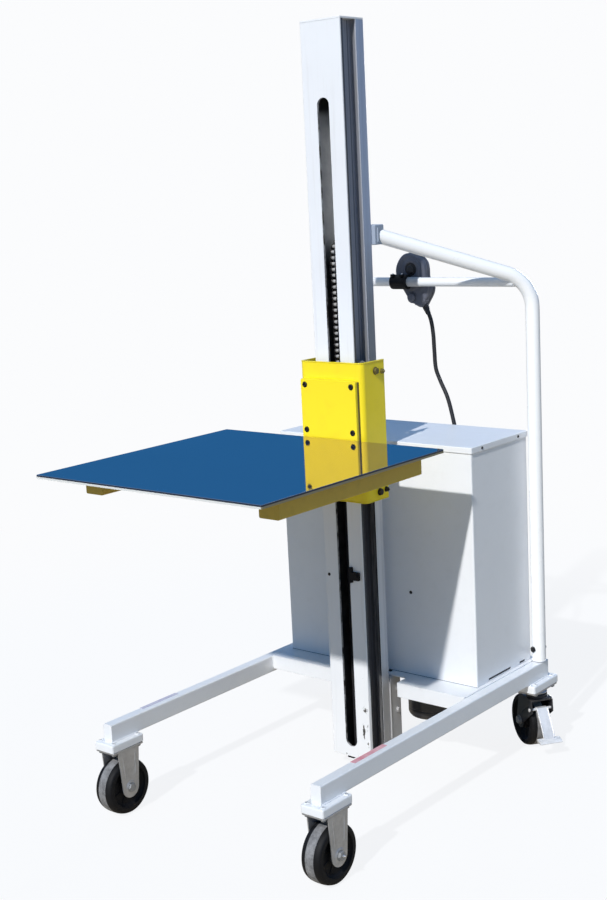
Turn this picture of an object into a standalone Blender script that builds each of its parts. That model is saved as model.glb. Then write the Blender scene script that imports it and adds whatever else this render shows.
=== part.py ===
"""Powered platform lift: slotted mast on a U-shaped caster base, roller carriage
with a flat platform, chain-doubled ram inside the mast, power cabinet and a bent
tube handle with a wired control.

Metres, +Z up. The platform is in front (-Y), the cabinet and handle behind (+Y),
"left" is -X. Dimensions are laid out from the floor below the middle of the mast;
at the end everything is shifted by FRAME_Y, so that the origin is on the floor
below the middle of the footprint.
"""

import math

import bmesh
import bpy
from mathutils import Matrix, Vector


# ---------------------------------------------------------------- spans: (low, high) pairs
def around(middle, half):
    return (middle - half, middle + half)


def centred(half):
    return (-half, half)


def inset(span, wall):
    return (span[0] + wall, span[1] - wall)


def past(span):
    """The span of a cutter that runs out of both ends of a piece."""
    return (span[0] - OVERCUT, span[1] + OVERCUT)


def on_side(sign, near, far):
    """The span between two distances from the middle, on the side given by sign."""
    return sorted((sign * near, sign * far))


# ---------------------------------------------------------------- shared dimensions
GAP = 0.0003            # between touching pieces
OVERCUT = 0.01          # how far a cutter runs out of the piece
FRAME_Y = 0.135         # from the mast's middle to the middle of the footprint
SIDES = (("left", -1), ("right", 1))

# mast
MAST_X, MAST_Y, MAST_Z = centred(0.054), (-0.043, 0.040), (0.033, 1.678)
MAST_WALL = 0.006
MAST_CORNER_R = 0.0025
CAVITY_X = centred(0.031)
CAVITY_Y = inset(MAST_Y, MAST_WALL)

# base frame
LEG_X, LEG_W = 0.2895, 0.025
LEG_Y, LEG_Z = (-0.529, 0.334), (0.172, 0.212)
DECK_X = centred(LEG_X - LEG_W / 2 - GAP)
DECK_Y = (0.0128, 0.330)
DECK_TOP = 0.2137
UNDER_DECK_Z = 0.2102   # top of the pieces below the deck

# lift drive
DRIVE_Y = -0.0015       # middle plane of the ram and the chain wheel
CHAIN_PITCH = 0.0127
SPROCKET_TEETH = 13
CHAIN_R = CHAIN_PITCH / (2 * math.sin(math.pi / SPROCKET_TEETH))
SPROCKET_Z = 1.190
SPROCKET_PIN_R = 0.0050
ROD_Z = (0.335, 1.1397)
ANCHOR_Z = (0.585, 0.615)
LUG_Z = (0.780, 0.820)

# carriage
CARRIAGE_HALF_W = 0.086
CARRIAGE_Y, CARRIAGE_Z = (-0.060, 0.022), (0.645, 0.956)
CARRIAGE_T = 0.005
ROLLER_R, ROLLER_HALF_W = 0.0212, 0.0060
ROLLER_X, ROLLER_Y = 0.0450, -0.011
ROLLER_Z = {"lower": 0.664, "upper": 0.934}
ROLLER_AXLE_R = 0.0050
BRACKET_Y = (-0.0720, CARRIAGE_Y[0] - GAP)

# platform and the bars under it
PLATFORM_T = 0.003
PLATFORM_Z = (0.7808, 0.7886)
ARM_X = (0.212, 0.262)
ARM_Z = (0.735, PLATFORM_Z[1] - PLATFORM_T - GAP)
ARM_WALL, ARM_CORNER_R = 0.003, 0.003

# cabinet
CABINET_HALF_W = 0.269
CABINET_Y, CABINET_Z = (0.0787, 0.3130), (0.2141, 0.7590)
CABINET_T = 0.002
MOTOR_X, MOTOR_Y, MOTOR_R = 0.098, 0.145, 0.055
MOTOR_Z = (0.098, 0.300)
MOTOR_HOLE_R = MOTOR_R + 0.003
PUMP_HALF_W = 0.050
HOSE_Z, HOSE_R = 0.236, 0.006
HOSE_HOLE_R = HOSE_R + 0.0012
CORD_HOLE_X, CORD_HOLE_Z = 0.066, 0.700

# handle and control
HANDLE_R = 0.016
HANDLE_Y = 0.316
BAR_Y, BAR_Z, BAR_R = 0.288, 1.102, 0.0105
CONTROL_Y = (0.3062, 0.338)
CONTROL_BOTTOM = 1.040

# casters
WHEEL_R, WHEEL_W = 0.0625, 0.040
AXLE_R = 0.006
AXLE_BORE = AXLE_R + GAP
AXLE_SEGMENTS = 14
CASTER_PLATE_Z = (0.1503, 0.1546)
CASTER_CORNER_R = 0.004
FORK_IN, FORK_OUT = 0.022, 0.025
FRONT_WHEEL_Y = -0.4975
SWIVEL_Y = 0.300
TRAIL = 0.035
# trailing direction of the rear casters from +X
REAR_TURN = {"left": math.radians(127.0), "right": math.radians(145.0)}
PEDAL_X, PEDAL_Z = -0.0230, 0.1060      # pivot along the trail, and its height
PEDAL_PIN_R = 0.0033

# ---------------------------------------------------------------- scene and materials
for old in list(bpy.data.objects):
    bpy.data.objects.remove(old, do_unlink=True)

PARTS = bpy.data.collections.new("platform_lift")
bpy.context.scene.collection.children.link(PARTS)

WHITE = dict(colour=(0.86, 0.87, 0.90), roughness=0.42, metallic=0.0)
YELLOW = dict(colour=(0.90, 0.72, 0.02), roughness=0.38, metallic=0.0)
BLUE = dict(colour=(0.02, 0.09, 0.24), roughness=0.12, metallic=0.3)
BLACK = dict(colour=(0.02, 0.02, 0.022), roughness=0.5, metallic=0.0)
ZINC = dict(colour=(0.62, 0.63, 0.64), roughness=0.35, metallic=1.0)
STEEL = dict(colour=(0.45, 0.45, 0.46), roughness=0.3, metallic=1.0)
CHAIN = dict(colour=(0.12, 0.11, 0.10), roughness=0.4, metallic=1.0)
GREY = dict(colour=(0.10, 0.11, 0.14), roughness=0.5, metallic=0.0)
SHARP_ANGLE = math.radians(32)


def material(name, colour, roughness, metallic):
    mat = bpy.data.materials.new(name)
    mat.use_nodes = True
    inputs = mat.node_tree.nodes["Principled BSDF"].inputs
    inputs["Base Color"].default_value = (*colour, 1.0)
    inputs["Roughness"].default_value = roughness
    inputs["Metallic"].default_value = metallic
    mat.diffuse_color = (*colour, 1.0)
    return mat


def finish(obj, look, smooth=True):
    """Give a piece its own material and its shading."""
    obj.data.materials.clear()
    obj.data.materials.append(material(obj.name, **look))
    if smooth:
        obj.data.shade_smooth()
        obj.data.set_sharp_from_angle(angle=SHARP_ANGLE)


# ---------------------------------------------------------------- modelling tools
AXIS_TURN = {"x": Matrix.Rotation(math.pi / 2, 4, "Y"),
             "y": Matrix.Rotation(-math.pi / 2, 4, "X"),
             "z": Matrix.Identity(4)}
WELD_DISTANCE = 0.00002
TUBE_RESOLUTION = 2


def new_object(name, data):
    obj = bpy.data.objects.new(name, data)
    PARTS.objects.link(obj)
    return obj


def from_bmesh(name, shape, at):
    bmesh.ops.recalc_face_normals(shape, faces=shape.faces)
    mesh = bpy.data.meshes.new(name)
    shape.to_mesh(mesh)
    shape.free()
    obj = new_object(name, mesh)
    obj.location = at
    return obj


def box(name, x, y, z, round_axis=None, radius=0.0, segments=2):
    """A block between spans; the edges parallel to round_axis are rounded."""
    spans = (x, y, z)
    size = Vector([high - low for low, high in spans])
    middle = Vector([(low + high) / 2 for low, high in spans])
    shape = bmesh.new()
    bmesh.ops.create_cube(shape, size=1.0, matrix=Matrix.Diagonal((*size, 1.0)))
    if round_axis is not None:
        axis = "xyz".index(round_axis)
        edges = [edge for edge in shape.edges
                 if abs((edge.verts[0].co - edge.verts[1].co).normalized()[axis]) > 0.9]
        bmesh.ops.bevel(shape, geom=edges, offset=radius, segments=segments, profile=0.5,
                        affect="EDGES", clamp_overlap=True)
    return from_bmesh(name, shape, middle)


def rod(name, start, length, axis, radius, segments=24):
    """A cylinder or prism whose end is at start and that runs along +axis."""
    shape = bmesh.new()
    bmesh.ops.create_cone(shape, cap_ends=True, cap_tris=False, segments=segments,
                          radius1=radius, radius2=radius, depth=length,
                          matrix=Matrix.Translation((0, 0, length / 2)))
    bmesh.ops.transform(shape, matrix=AXIS_TURN[axis], verts=shape.verts)
    return from_bmesh(name, shape, start)


def baked(obj):
    """Replace the object by its evaluated mesh at the same place, welded."""
    bpy.context.view_layer.update()
    depsgraph = bpy.context.evaluated_depsgraph_get()
    mesh = bpy.data.meshes.new_from_object(obj.evaluated_get(depsgraph))
    shape = bmesh.new()
    shape.from_mesh(mesh)
    bmesh.ops.remove_doubles(shape, verts=shape.verts, dist=WELD_DISTANCE)
    bmesh.ops.recalc_face_normals(shape, faces=shape.faces)
    shape.to_mesh(mesh)
    shape.free()
    name, place = obj.name, obj.matrix_world.copy()
    bpy.data.objects.remove(obj, do_unlink=True)
    new = new_object(name, mesh)
    new.matrix_world = place
    return new


def poly_curve(name, dimensions, points):
    curve = bpy.data.curves.new(name, "CURVE")
    curve.dimensions = dimensions
    spline = curve.splines.new("POLY")
    spline.points.add(len(points) - 1)
    for point, place in zip(spline.points, points):
        point.co = (*place, 1)
    return curve


def plate(name, outline, thickness):
    """A flat piece: its outline lies in local XY, its thickness is centred on local Z."""
    curve = poly_curve(name, "2D", [(x, y, 0) for x, y in outline])
    curve.fill_mode = "BOTH"
    curve.extrude = thickness / 2
    curve.splines[0].use_cyclic_u = True
    return baked(new_object(name, curve))


def tube(name, path, radius):
    """A round bar along a path of points."""
    curve = poly_curve(name, "3D", path)
    curve.bevel_depth = radius
    curve.bevel_resolution = TUBE_RESOLUTION
    curve.use_fill_caps = True
    return baked(new_object(name, curve))


def turned(name, profile, axis, at, steps):
    """A turned piece; profile is a closed loop of (radius, place along the axis)."""
    shape = bmesh.new()
    verts = [shape.verts.new((radius, 0, z)) for radius, z in profile]
    for pair in zip(verts, verts[1:] + verts[:1]):
        shape.edges.new(pair)
    mesh = bpy.data.meshes.new(name)
    shape.to_mesh(mesh)
    shape.free()
    obj = new_object(name, mesh)
    screw = obj.modifiers.new("turn", "SCREW")
    screw.axis = "Z"
    screw.steps = screw.render_steps = steps
    screw.use_merge_vertices = True
    screw.merge_threshold = 0.00001
    obj = baked(obj)
    obj.data.transform(AXIS_TURN[axis])
    obj.location = at
    return obj


def boolean(obj, operation, others):
    """Cut obj by, or join it with, the other solids, which are used up."""
    for other in others:
        mod = obj.modifiers.new(operation.lower(), "BOOLEAN")
        mod.operation = operation
        mod.solver = "EXACT"
        mod.object = other
    obj = baked(obj)
    for other in others:
        bpy.data.objects.remove(other, do_unlink=True)
    return obj


def cut(obj, *others):
    return boolean(obj, "DIFFERENCE", others)


def join(obj, *others):
    return boolean(obj, "UNION", others)


def hollow_bar_x(name, x, y, z, radius, wall):
    """Rectangular tube along X, open at both ends."""
    return cut(box(name, x, y, z, "x", radius),
               box("bore", past(x), inset(y, wall), inset(z, wall)))


def hollow_bar_y(name, x, y, z, radius, wall):
    """Rectangular tube along Y, closed in front and open behind."""
    return cut(box(name, x, y, z, "y", radius),
               box("bore", inset(x, wall), (y[0] + wall, y[1] + OVERCUT), inset(z, wall)))


def stand_up(obj, across):
    """Stand a plate up: its outline goes to X and Z, its middle to `across` on Y."""
    obj.matrix_world = Matrix(((1, 0, 0, 0), (0, 0, 1, across), (0, 1, 0, 0), (0, 0, 0, 1)))
    return obj


def place_local(obj, centre, angle):
    """Turn a piece about Z and carry its local zero to centre."""
    turn = Matrix.Rotation(angle, 4, "Z")
    obj.matrix_world = Matrix.Translation(centre) @ turn @ obj.matrix_world
    return obj


def move_origin(obj, point):
    """Put the object's origin on a point without moving its shape."""
    bpy.context.view_layer.update()
    shift = obj.matrix_world.inverted() @ Vector(point)
    obj.data.transform(Matrix.Translation(-shift))
    obj.matrix_world = obj.matrix_world @ Matrix.Translation(shift)


def fillet_path(start, corner, end, radius, count=10):
    """Start, a bend of the given radius at the corner, end."""
    start, corner, end = Vector(start), Vector(corner), Vector(end)
    to_start, to_end = (start - corner).normalized(), (end - corner).normalized()
    half = to_start.angle(to_end) / 2
    reach = radius / math.tan(half)
    centre = corner + (to_start + to_end).normalized() * (radius / math.sin(half))
    first = corner + to_start * reach - centre
    last = corner + to_end * reach - centre
    sweep = first.angle(last)
    bend = []
    for i in range(count + 1):
        done = i / count * sweep
        mixed = first * math.sin(sweep - done) + last * math.sin(done)
        bend.append(centre + mixed / math.sin(sweep))
    return [start, *bend, end]


# ---------------------------------------------------------------- base frame
def make_leg(side, sign):
    """Rectangular tube, closed in front, with caster pads under both ends."""
    pad_w, pad_bottom, pad_overlap = 0.056, 0.155, 0.001
    pad_spans = ((-0.545, -0.450), (0.245, 0.355))
    middle = sign * LEG_X
    leg = hollow_bar_y(f"leg_{side}", around(middle, LEG_W / 2), LEG_Y, LEG_Z,
                       radius=0.002, wall=0.0025)
    pads = [box("pad", around(middle, pad_w / 2), span, (pad_bottom, LEG_Z[0] + pad_overlap),
                "z", 0.004)
            for span in pad_spans]
    finish(join(leg, *pads), WHITE)


def make_deck():
    """Tray between the legs: flange in front, notch for the mast, hole for the motor."""
    thickness, flange = 0.003, 0.034
    notch_x, notch_back, notch_r = centred(0.095), 0.052, 0.006
    deck_z = (DECK_TOP - flange, DECK_TOP)
    deck = box("deck_tray", DECK_X, DECK_Y, deck_z)
    deck = cut(deck,
               box("under", past(DECK_X), (DECK_Y[0] + thickness, DECK_Y[1] + OVERCUT),
                   (deck_z[0] - OVERCUT, DECK_TOP - thickness)),
               box("notch", notch_x, (DECK_Y[0] - OVERCUT, notch_back), past(deck_z),
                   "z", notch_r),
               rod("motor_hole", (MOTOR_X, MOTOR_Y, DECK_TOP - thickness - OVERCUT),
                   thickness + 2 * OVERCUT, "z", MOTOR_HOLE_R, 32))
    finish(deck, WHITE)


def make_rear_cross_tube():
    finish(hollow_bar_x("rear_cross_tube", DECK_X, (0.291, DECK_Y[1]), (0.1735, UNDER_DECK_Z),
                        radius=0.002, wall=0.003), WHITE)


def make_mast_foot_bracket():
    """Plate on the mast's back with a shelf under the deck and a web at each side."""
    half_w, web_inner_x = 0.056, 0.051
    bottom, web_top, shelf_t = 0.052, 0.206, 0.006
    plate_back = MAST_Y[1] + 0.0083
    shelf_y = (MAST_Y[1] + 0.006, 0.0800)
    foot = box("mast_foot_bracket", centred(half_w), (MAST_Y[1] + GAP, plate_back),
               (bottom, UNDER_DECK_Z))
    shelf = box("shelf", centred(half_w), shelf_y, (UNDER_DECK_Z - shelf_t, UNDER_DECK_Z))
    webs = [box("web", on_side(sign, web_inner_x, half_w), shelf_y, (bottom, web_top))
            for sign in (-1, 1)]
    finish(join(foot, shelf, *webs), WHITE)


# ---------------------------------------------------------------- mast
def make_mast():
    """Section closed at the bottom, slotted in front, with side grooves and rear pockets."""
    floor_t = 0.0045
    slot_half_w, slot_z = 0.016, (0.058, 1.520)
    groove_floor_x, groove_y = 0.036, (-0.0335, 0.0115)
    pocket_x, pocket_wall = (0.036, 0.049), 0.005
    pocket_y = (groove_y[1] + pocket_wall, MAST_Y[1] - pocket_wall)
    cutters = [
        box("cavity", CAVITY_X, CAVITY_Y, (MAST_Z[0] + floor_t, MAST_Z[1] + OVERCUT)),
        # rounded just short of the half width, which makes round slot ends
        box("slot", centred(slot_half_w), past((MAST_Y[0], CAVITY_Y[0])), slot_z,
            "y", slot_half_w - 0.0002, 8),
        rod("hose_hole", (0.0, CAVITY_Y[1] - OVERCUT, HOSE_Z), MAST_WALL + 2 * OVERCUT, "y",
            HOSE_HOLE_R, 16),
    ]
    for sign in (-1, 1):
        cutters += [
            box("groove", on_side(sign, groove_floor_x, MAST_X[1] + OVERCUT), groove_y,
                past(MAST_Z)),
            box("pocket", on_side(sign, *pocket_x), pocket_y, past(MAST_Z)),
        ]
    mast = box("mast_section", MAST_X, MAST_Y, MAST_Z, "z", MAST_CORNER_R)
    finish(cut(mast, *cutters), WHITE)


def make_mast_cap():
    """Flat cap with a plug that reaches down into the cavity."""
    thickness, plug_clearance = 0.004, 0.001
    plug_depth, plug_overlap = 0.012, 0.002
    top = MAST_Z[1]
    cap = box("mast_top_cap", MAST_X, MAST_Y, (top + GAP, top + thickness), "z", MAST_CORNER_R)
    plug = box("plug", inset(CAVITY_X, plug_clearance), inset(CAVITY_Y, plug_clearance),
               (top - plug_depth, top + plug_overlap))
    finish(join(cap, plug), WHITE)


def make_limit_switch():
    """Small block with a thinner tab, on the mast's front face."""
    body_x, body_z, body_depth = (0.024, 0.046), (0.4615, 0.4805), 0.0075
    tab_x, tab_z, tab_depth = (0.0175, 0.026), (0.455, 0.4905), 0.005
    front = MAST_Y[0]
    switch = box("limit_switch", body_x, (front - body_depth, front - GAP), body_z, "y", 0.002)
    tab = box("tab", tab_x, (front - tab_depth, front - GAP), tab_z)
    finish(join(switch, tab), BLACK)


# ---------------------------------------------------------------- ram and chain drive
def make_ram():
    cylinder_z, cylinder_r = (0.0380, 0.845), 0.019
    bore_r, bottom_t = 0.0125, 0.010
    length = cylinder_z[1] - cylinder_z[0]
    cylinder = rod("ram_cylinder", (0, DRIVE_Y, cylinder_z[0]), length, "z", cylinder_r)
    bore = rod("bore", (0, DRIVE_Y, cylinder_z[0] + bottom_t), length, "z", bore_r)
    finish(cut(cylinder, bore), STEEL)

    rod_r = 0.011
    finish(rod("ram_rod", (0, DRIVE_Y, ROD_Z[0]), ROD_Z[1] - ROD_Z[0], "z", rod_r, 20), ZINC)


def make_crosshead():
    """Block on the ram's rod, with side shoes and two cheeks for the chain wheel."""
    half_w, half_depth, top = 0.0120, 0.0190, 1.1650
    shoe_x, shoe_half_depth, shoe_z = centred(0.0300), 0.0105, (1.1420, 1.1620)
    cheek_inner_x, cheek_half_depth, cheek_z = 0.0080, 0.0175, (1.1600, 1.2120)
    hole_half_length = 0.03
    crosshead = box("crosshead", centred(half_w), around(DRIVE_Y, half_depth),
                    (ROD_Z[1] + GAP, top))
    shoes = box("shoes", shoe_x, around(DRIVE_Y, shoe_half_depth), shoe_z, "z", 0.003)
    cheeks = [box("cheek", on_side(sign, cheek_inner_x, half_w),
                  around(DRIVE_Y, cheek_half_depth), cheek_z, "x", 0.008, 3)
              for sign in (1, -1)]
    hole = rod("pin_hole", (-hole_half_length, DRIVE_Y, SPROCKET_Z), 2 * hole_half_length, "x",
               SPROCKET_PIN_R + GAP, 20)
    finish(cut(join(crosshead, shoes, *cheeks), hole), STEEL)


def make_chain_wheel():
    rim_r, rim_half_w = CHAIN_R - 0.0062, 0.0034
    hub_r, hub_half_w = 0.0105, 0.0074
    bore_r = SPROCKET_PIN_R + GAP
    profile = [(rim_r, rim_half_w), (rim_r, -rim_half_w), (hub_r, -rim_half_w),
               (hub_r, -hub_half_w), (bore_r, -hub_half_w), (bore_r, hub_half_w),
               (hub_r, hub_half_w), (hub_r, rim_half_w)]
    finish(turned("chain_wheel", profile, "x", (0, DRIVE_Y, SPROCKET_Z), 26), STEEL)

    pin_half_length = 0.0150
    finish(rod("chain_wheel_pin", (-pin_half_length, DRIVE_Y, SPROCKET_Z), 2 * pin_half_length,
               "x", SPROCKET_PIN_R, 20), ZINC)


def make_chain():
    """Plain strands in front of and behind the wheel, and the rear strand's anchor."""
    half_w, half_depth = 0.0065, 0.0060
    for name, y, end in (("chain_front_strand", DRIVE_Y - CHAIN_R, LUG_Z[1]),
                         ("chain_rear_strand", DRIVE_Y + CHAIN_R, ANCHOR_Z[1])):
        finish(box(name, centred(half_w), around(y, half_depth), (end + GAP, SPROCKET_Z)),
               CHAIN, smooth=False)

    anchor_x, anchor_front = centred(0.011), 0.0186
    finish(box("chain_anchor", anchor_x, (anchor_front, CAVITY_Y[1] - GAP), ANCHOR_Z,
               "z", 0.0015, 1), STEEL)


# ---------------------------------------------------------------- carriage
def make_carriage_housing():
    """Channel around the mast, open behind, with a lug for the front chain strand."""
    # built too deep and cut back, so that only the front corners stay rounded
    spare = 0.02
    hole_r, hole_length = 0.0054, 0.04
    lug_x, lug_back, lug_overlap = centred(0.0110), -0.0215, 0.002
    x = centred(CARRIAGE_HALF_W)
    front, rear = CARRIAGE_Y
    housing = box("carriage_housing", x, (front, rear + spare), CARRIAGE_Z, "z", 0.012, 5)
    inner = box("inner", inset(x, CARRIAGE_T), (front + CARRIAGE_T, rear + 2 * spare),
                past(CARRIAGE_Z), "z", 0.007, 4)
    excess = box("excess", past(x), (rear, rear + 3 * spare), past(CARRIAGE_Z))
    holes = [rod("axle_hole", (sign * CARRIAGE_HALF_W - hole_length / 2, ROLLER_Y, z),
                 hole_length, "x", hole_r, AXLE_SEGMENTS)
             for sign in (-1, 1) for z in ROLLER_Z.values()]
    housing = cut(housing, inner, excess, *holes)
    lug = box("lug", lug_x, (front + lug_overlap, lug_back), LUG_Z)
    finish(join(housing, lug), YELLOW)


def make_roller(side, sign, level, z):
    chamfer = 0.0008
    bore_r = ROLLER_AXLE_R + GAP
    profile = [(ROLLER_R, ROLLER_HALF_W - chamfer), (ROLLER_R, chamfer - ROLLER_HALF_W),
               (ROLLER_R - chamfer, -ROLLER_HALF_W), (bore_r, -ROLLER_HALF_W),
               (bore_r, ROLLER_HALF_W), (ROLLER_R - chamfer, ROLLER_HALF_W)]
    finish(turned(f"roller_{side}_{level}", profile, "x", (sign * ROLLER_X, ROLLER_Y, z), 24),
           STEEL)


def make_roller_axle(side, sign, level, z):
    """Stub bolt: inner keeper, shaft, spacer against the wall, hexagon head outside."""
    shaft_length, collar_r = 0.0500, 0.0080
    keeper_t = 0.0014
    head_t, head_r = 0.0060, 0.0095
    keeper_x = ROLLER_X - ROLLER_HALF_W - GAP - keeper_t
    spacer_x = ROLLER_X + ROLLER_HALF_W + GAP
    spacer_length = CARRIAGE_HALF_W - CARRIAGE_T - GAP - spacer_x
    axle = rod(f"roller_axle_{side}_{level}", (keeper_x, ROLLER_Y, z), shaft_length, "x",
               ROLLER_AXLE_R, AXLE_SEGMENTS)
    axle = join(axle,
                rod("keeper", (keeper_x, ROLLER_Y, z), keeper_t, "x", collar_r, AXLE_SEGMENTS),
                rod("spacer", (spacer_x, ROLLER_Y, z), spacer_length, "x", collar_r,
                    AXLE_SEGMENTS),
                rod("head", (CARRIAGE_HALF_W + GAP, ROLLER_Y, z), head_t, "x", head_r, 6))
    if sign < 0:
        # mirror the shape across the mast's middle; the origin stays on the right
        axle.data.transform(Matrix.Translation(-axle.location)
                            @ Matrix.Scale(-1, 4, (1, 0, 0))
                            @ Matrix.Translation(axle.location))
        axle.data.flip_normals()
    finish(axle, ZINC)


def make_platform_bracket():
    """Plate on the carriage's front with two triangular gussets below the cross beam."""
    half_w, bracket_z = 0.076, (0.690, 0.918)
    gusset_x, gusset_t = 0.055, 0.006
    gusset_y, gusset_z = (-0.1200, BRACKET_Y[0] + 0.002), (0.7015, 0.7345 - GAP)
    outline = [(gusset_y[1], gusset_z[0]), (gusset_y[0], gusset_z[1]),
               (gusset_y[1], gusset_z[1])]
    bracket = box("platform_bracket_plate", centred(half_w), BRACKET_Y, bracket_z, "y", 0.004)
    for sign in (-1, 1):
        gusset = plate("gusset", outline, gusset_t)
        # outline to Y and Z, thickness to X
        gusset.matrix_world = Matrix(((0, 0, 1, sign * gusset_x), (1, 0, 0, 0),
                                      (0, 1, 0, 0), (0, 0, 0, 1)))
        bracket = join(bracket, gusset)
    finish(bracket, YELLOW)


def make_platform():
    beam_depth, beam_drop = 0.050, 0.0005
    beam_back = BRACKET_Y[0] - GAP
    finish(hollow_bar_x("platform_cross_beam", centred(ARM_X[0] - GAP),
                        (beam_back - beam_depth, beam_back), (ARM_Z[0] + beam_drop, ARM_Z[1]),
                        ARM_CORNER_R, ARM_WALL), YELLOW)

    arm_y = (-0.560, -0.100)
    for side, sign in SIDES:
        finish(hollow_bar_y(f"platform_arm_{side}", on_side(sign, *ARM_X), arm_y, ARM_Z,
                            ARM_CORNER_R, ARM_WALL), YELLOW)

    # tray turned upside down, without a rim behind
    x, y, z = centred(0.304), (-0.656, -0.076), PLATFORM_Z
    platform = box("platform", x, y, z, "z", 0.003)
    underside = box("underside", inset(x, PLATFORM_T), (y[0] + PLATFORM_T, y[1] + OVERCUT),
                    (z[0] - OVERCUT, z[1] - PLATFORM_T))
    finish(cut(platform, underside), BLUE)


# ---------------------------------------------------------------- cabinet
def make_cabinet_body():
    x = centred(CABINET_HALF_W)
    bottom, top = CABINET_Z
    cord_hole_r = 0.0055
    body = box("cabinet_body", x, CABINET_Y, CABINET_Z, "z", 0.003)
    body = cut(body,
               box("room", inset(x, CABINET_T), inset(CABINET_Y, CABINET_T),
                   (bottom + CABINET_T, top + OVERCUT)),
               rod("motor_hole", (MOTOR_X, MOTOR_Y, bottom - OVERCUT), CABINET_T + 2 * OVERCUT,
                   "z", MOTOR_HOLE_R, 32),
               rod("hose_hole", (0.0, CABINET_Y[0] - OVERCUT, HOSE_Z), 2 * OVERCUT, "y",
                   HOSE_HOLE_R, 16),
               rod("cord_hole", (CORD_HOLE_X, CABINET_Y[1] - OVERCUT, CORD_HOLE_Z),
                   2 * OVERCUT, "y", cord_hole_r, 16))
    finish(body, WHITE)


def make_cabinet_lid():
    overhang = 0.0025
    x, y, z = centred(CABINET_HALF_W + overhang), inset(CABINET_Y, -overhang), (0.7480, 0.7615)
    lid = box("cabinet_lid", x, y, z, "z", 0.003)
    inside = box("inside", inset(x, CABINET_T), inset(y, CABINET_T),
                 (z[0] - OVERCUT, z[1] - CABINET_T))
    finish(cut(lid, inside), WHITE)


def make_battery():
    """Block with two round posts on top."""
    x, y, top = (-0.250, -0.010), (0.105, 0.275), 0.4272
    post_places, post_overlap = ((-0.215, 0.135), (-0.045, 0.135)), 0.001
    post_length, post_r = 0.018, 0.008
    battery = box("battery", x, y, (CABINET_Z[0] + CABINET_T + GAP, top), "z", 0.006)
    posts = [rod("post", (*place, top - post_overlap), post_length, "z", post_r, 16)
             for place in post_places]
    finish(join(battery, *posts), BLACK)


def make_power_unit():
    """Round motor through the deck, pump block on it, round tank on top."""
    top_chamfer, bottom_chamfer = 0.004, 0.010
    bottom, top = MOTOR_Z
    profile = [(MOTOR_R, top - top_chamfer), (MOTOR_R, bottom + bottom_chamfer),
               (MOTOR_R - bottom_chamfer, bottom), (0.0, bottom), (0.0, top),
               (MOTOR_R - top_chamfer, top)]
    finish(turned("pump_motor", profile, "z", (MOTOR_X, MOTOR_Y, 0), 28), BLACK)

    pump_top, tank_overlap = 0.3603, 0.001
    tank_length, tank_r = 0.165, 0.058
    pump = box("pump_and_reservoir", around(MOTOR_X, PUMP_HALF_W), around(MOTOR_Y, PUMP_HALF_W),
               (top + GAP, pump_top), "z", 0.003)
    tank = rod("tank", (MOTOR_X, MOTOR_Y, pump_top - tank_overlap), tank_length, "z", tank_r, 28)
    finish(join(pump, tank), STEEL)


def make_hose():
    """Hose from inside the mast that rises in a quarter turn to the pump block."""
    start_y, bend_y = 0.0185, 0.0920
    across, back, rise, steps = 0.028, 0.020, 0.094, 8
    path = [(0.0, start_y, HOSE_Z), (0.0, bend_y, HOSE_Z)]
    for k in range(1, steps + 1):
        angle = math.pi / 2 * k / steps
        path.append((across * (1 - math.cos(angle)), bend_y + back * math.sin(angle),
                     HOSE_Z + rise * k / steps))
    path.append((MOTOR_X - PUMP_HALF_W - GAP, bend_y + back, HOSE_Z + rise))
    finish(tube("hydraulic_hose", path, HOSE_R), BLACK)


# ---------------------------------------------------------------- handle
def handle_path(sign):
    """Up from the deck's height, then bent inwards and forwards to the mast's back."""
    bend_z, bend_r = 1.103, 0.085
    end_x, end_y, end_z = 0.046, 0.061, 1.2245
    return fillet_path((sign * LEG_X, HANDLE_Y, DECK_TOP + GAP),
                       (sign * LEG_X, HANDLE_Y, bend_z),
                       (sign * end_x, end_y, end_z), bend_r)


def make_handle():
    """Two bent tubes, each with an end block on the mast's back, and a crossbar."""
    block_x, block_back, block_z = (0.0240, 0.0535), 0.0700, (1.2040, 1.2460)
    for side, sign in SIDES:
        rail = tube(f"handle_tube_{side}", handle_path(sign), HANDLE_R)
        block = box("block", on_side(sign, *block_x), (MAST_Y[1] + GAP, block_back), block_z)
        finish(join(rail, block), WHITE)

    bar_half_length = 0.262
    bar = rod("handle_crossbar", (-bar_half_length, BAR_Y, BAR_Z), 2 * bar_half_length, "x",
              BAR_R, 20)
    # its ends are hollowed to fit the handle tubes
    copes = [tube("cope", handle_path(sign), HANDLE_R + GAP) for sign in (-1, 1)]
    finish(cut(bar, *copes), WHITE)


# ---------------------------------------------------------------- hand control
# (x, z) seen from the front: wide rounded head narrowing to the cord's outlet
CONTROL_OUTLINE = [
    (-0.079, 1.120), (-0.0785, 1.135), (-0.073, 1.148), (-0.063, 1.158), (-0.050, 1.164),
    (-0.035, 1.166), (-0.020, 1.163), (-0.006, 1.155), (0.002, 1.143), (0.0045, 1.128),
    (0.0050, 1.112), (0.010, 1.103), (0.018, 1.096), (0.021, 1.086), (0.0205, 1.074),
    (0.016, 1.062), (0.008, 1.051), (0.000, 1.043), (-0.006, CONTROL_BOTTOM),
    (-0.014, 1.0402), (-0.024, 1.045), (-0.036, 1.053), (-0.048, 1.065), (-0.057, 1.078),
    (-0.065, 1.090), (-0.074, 1.104),
]


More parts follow.
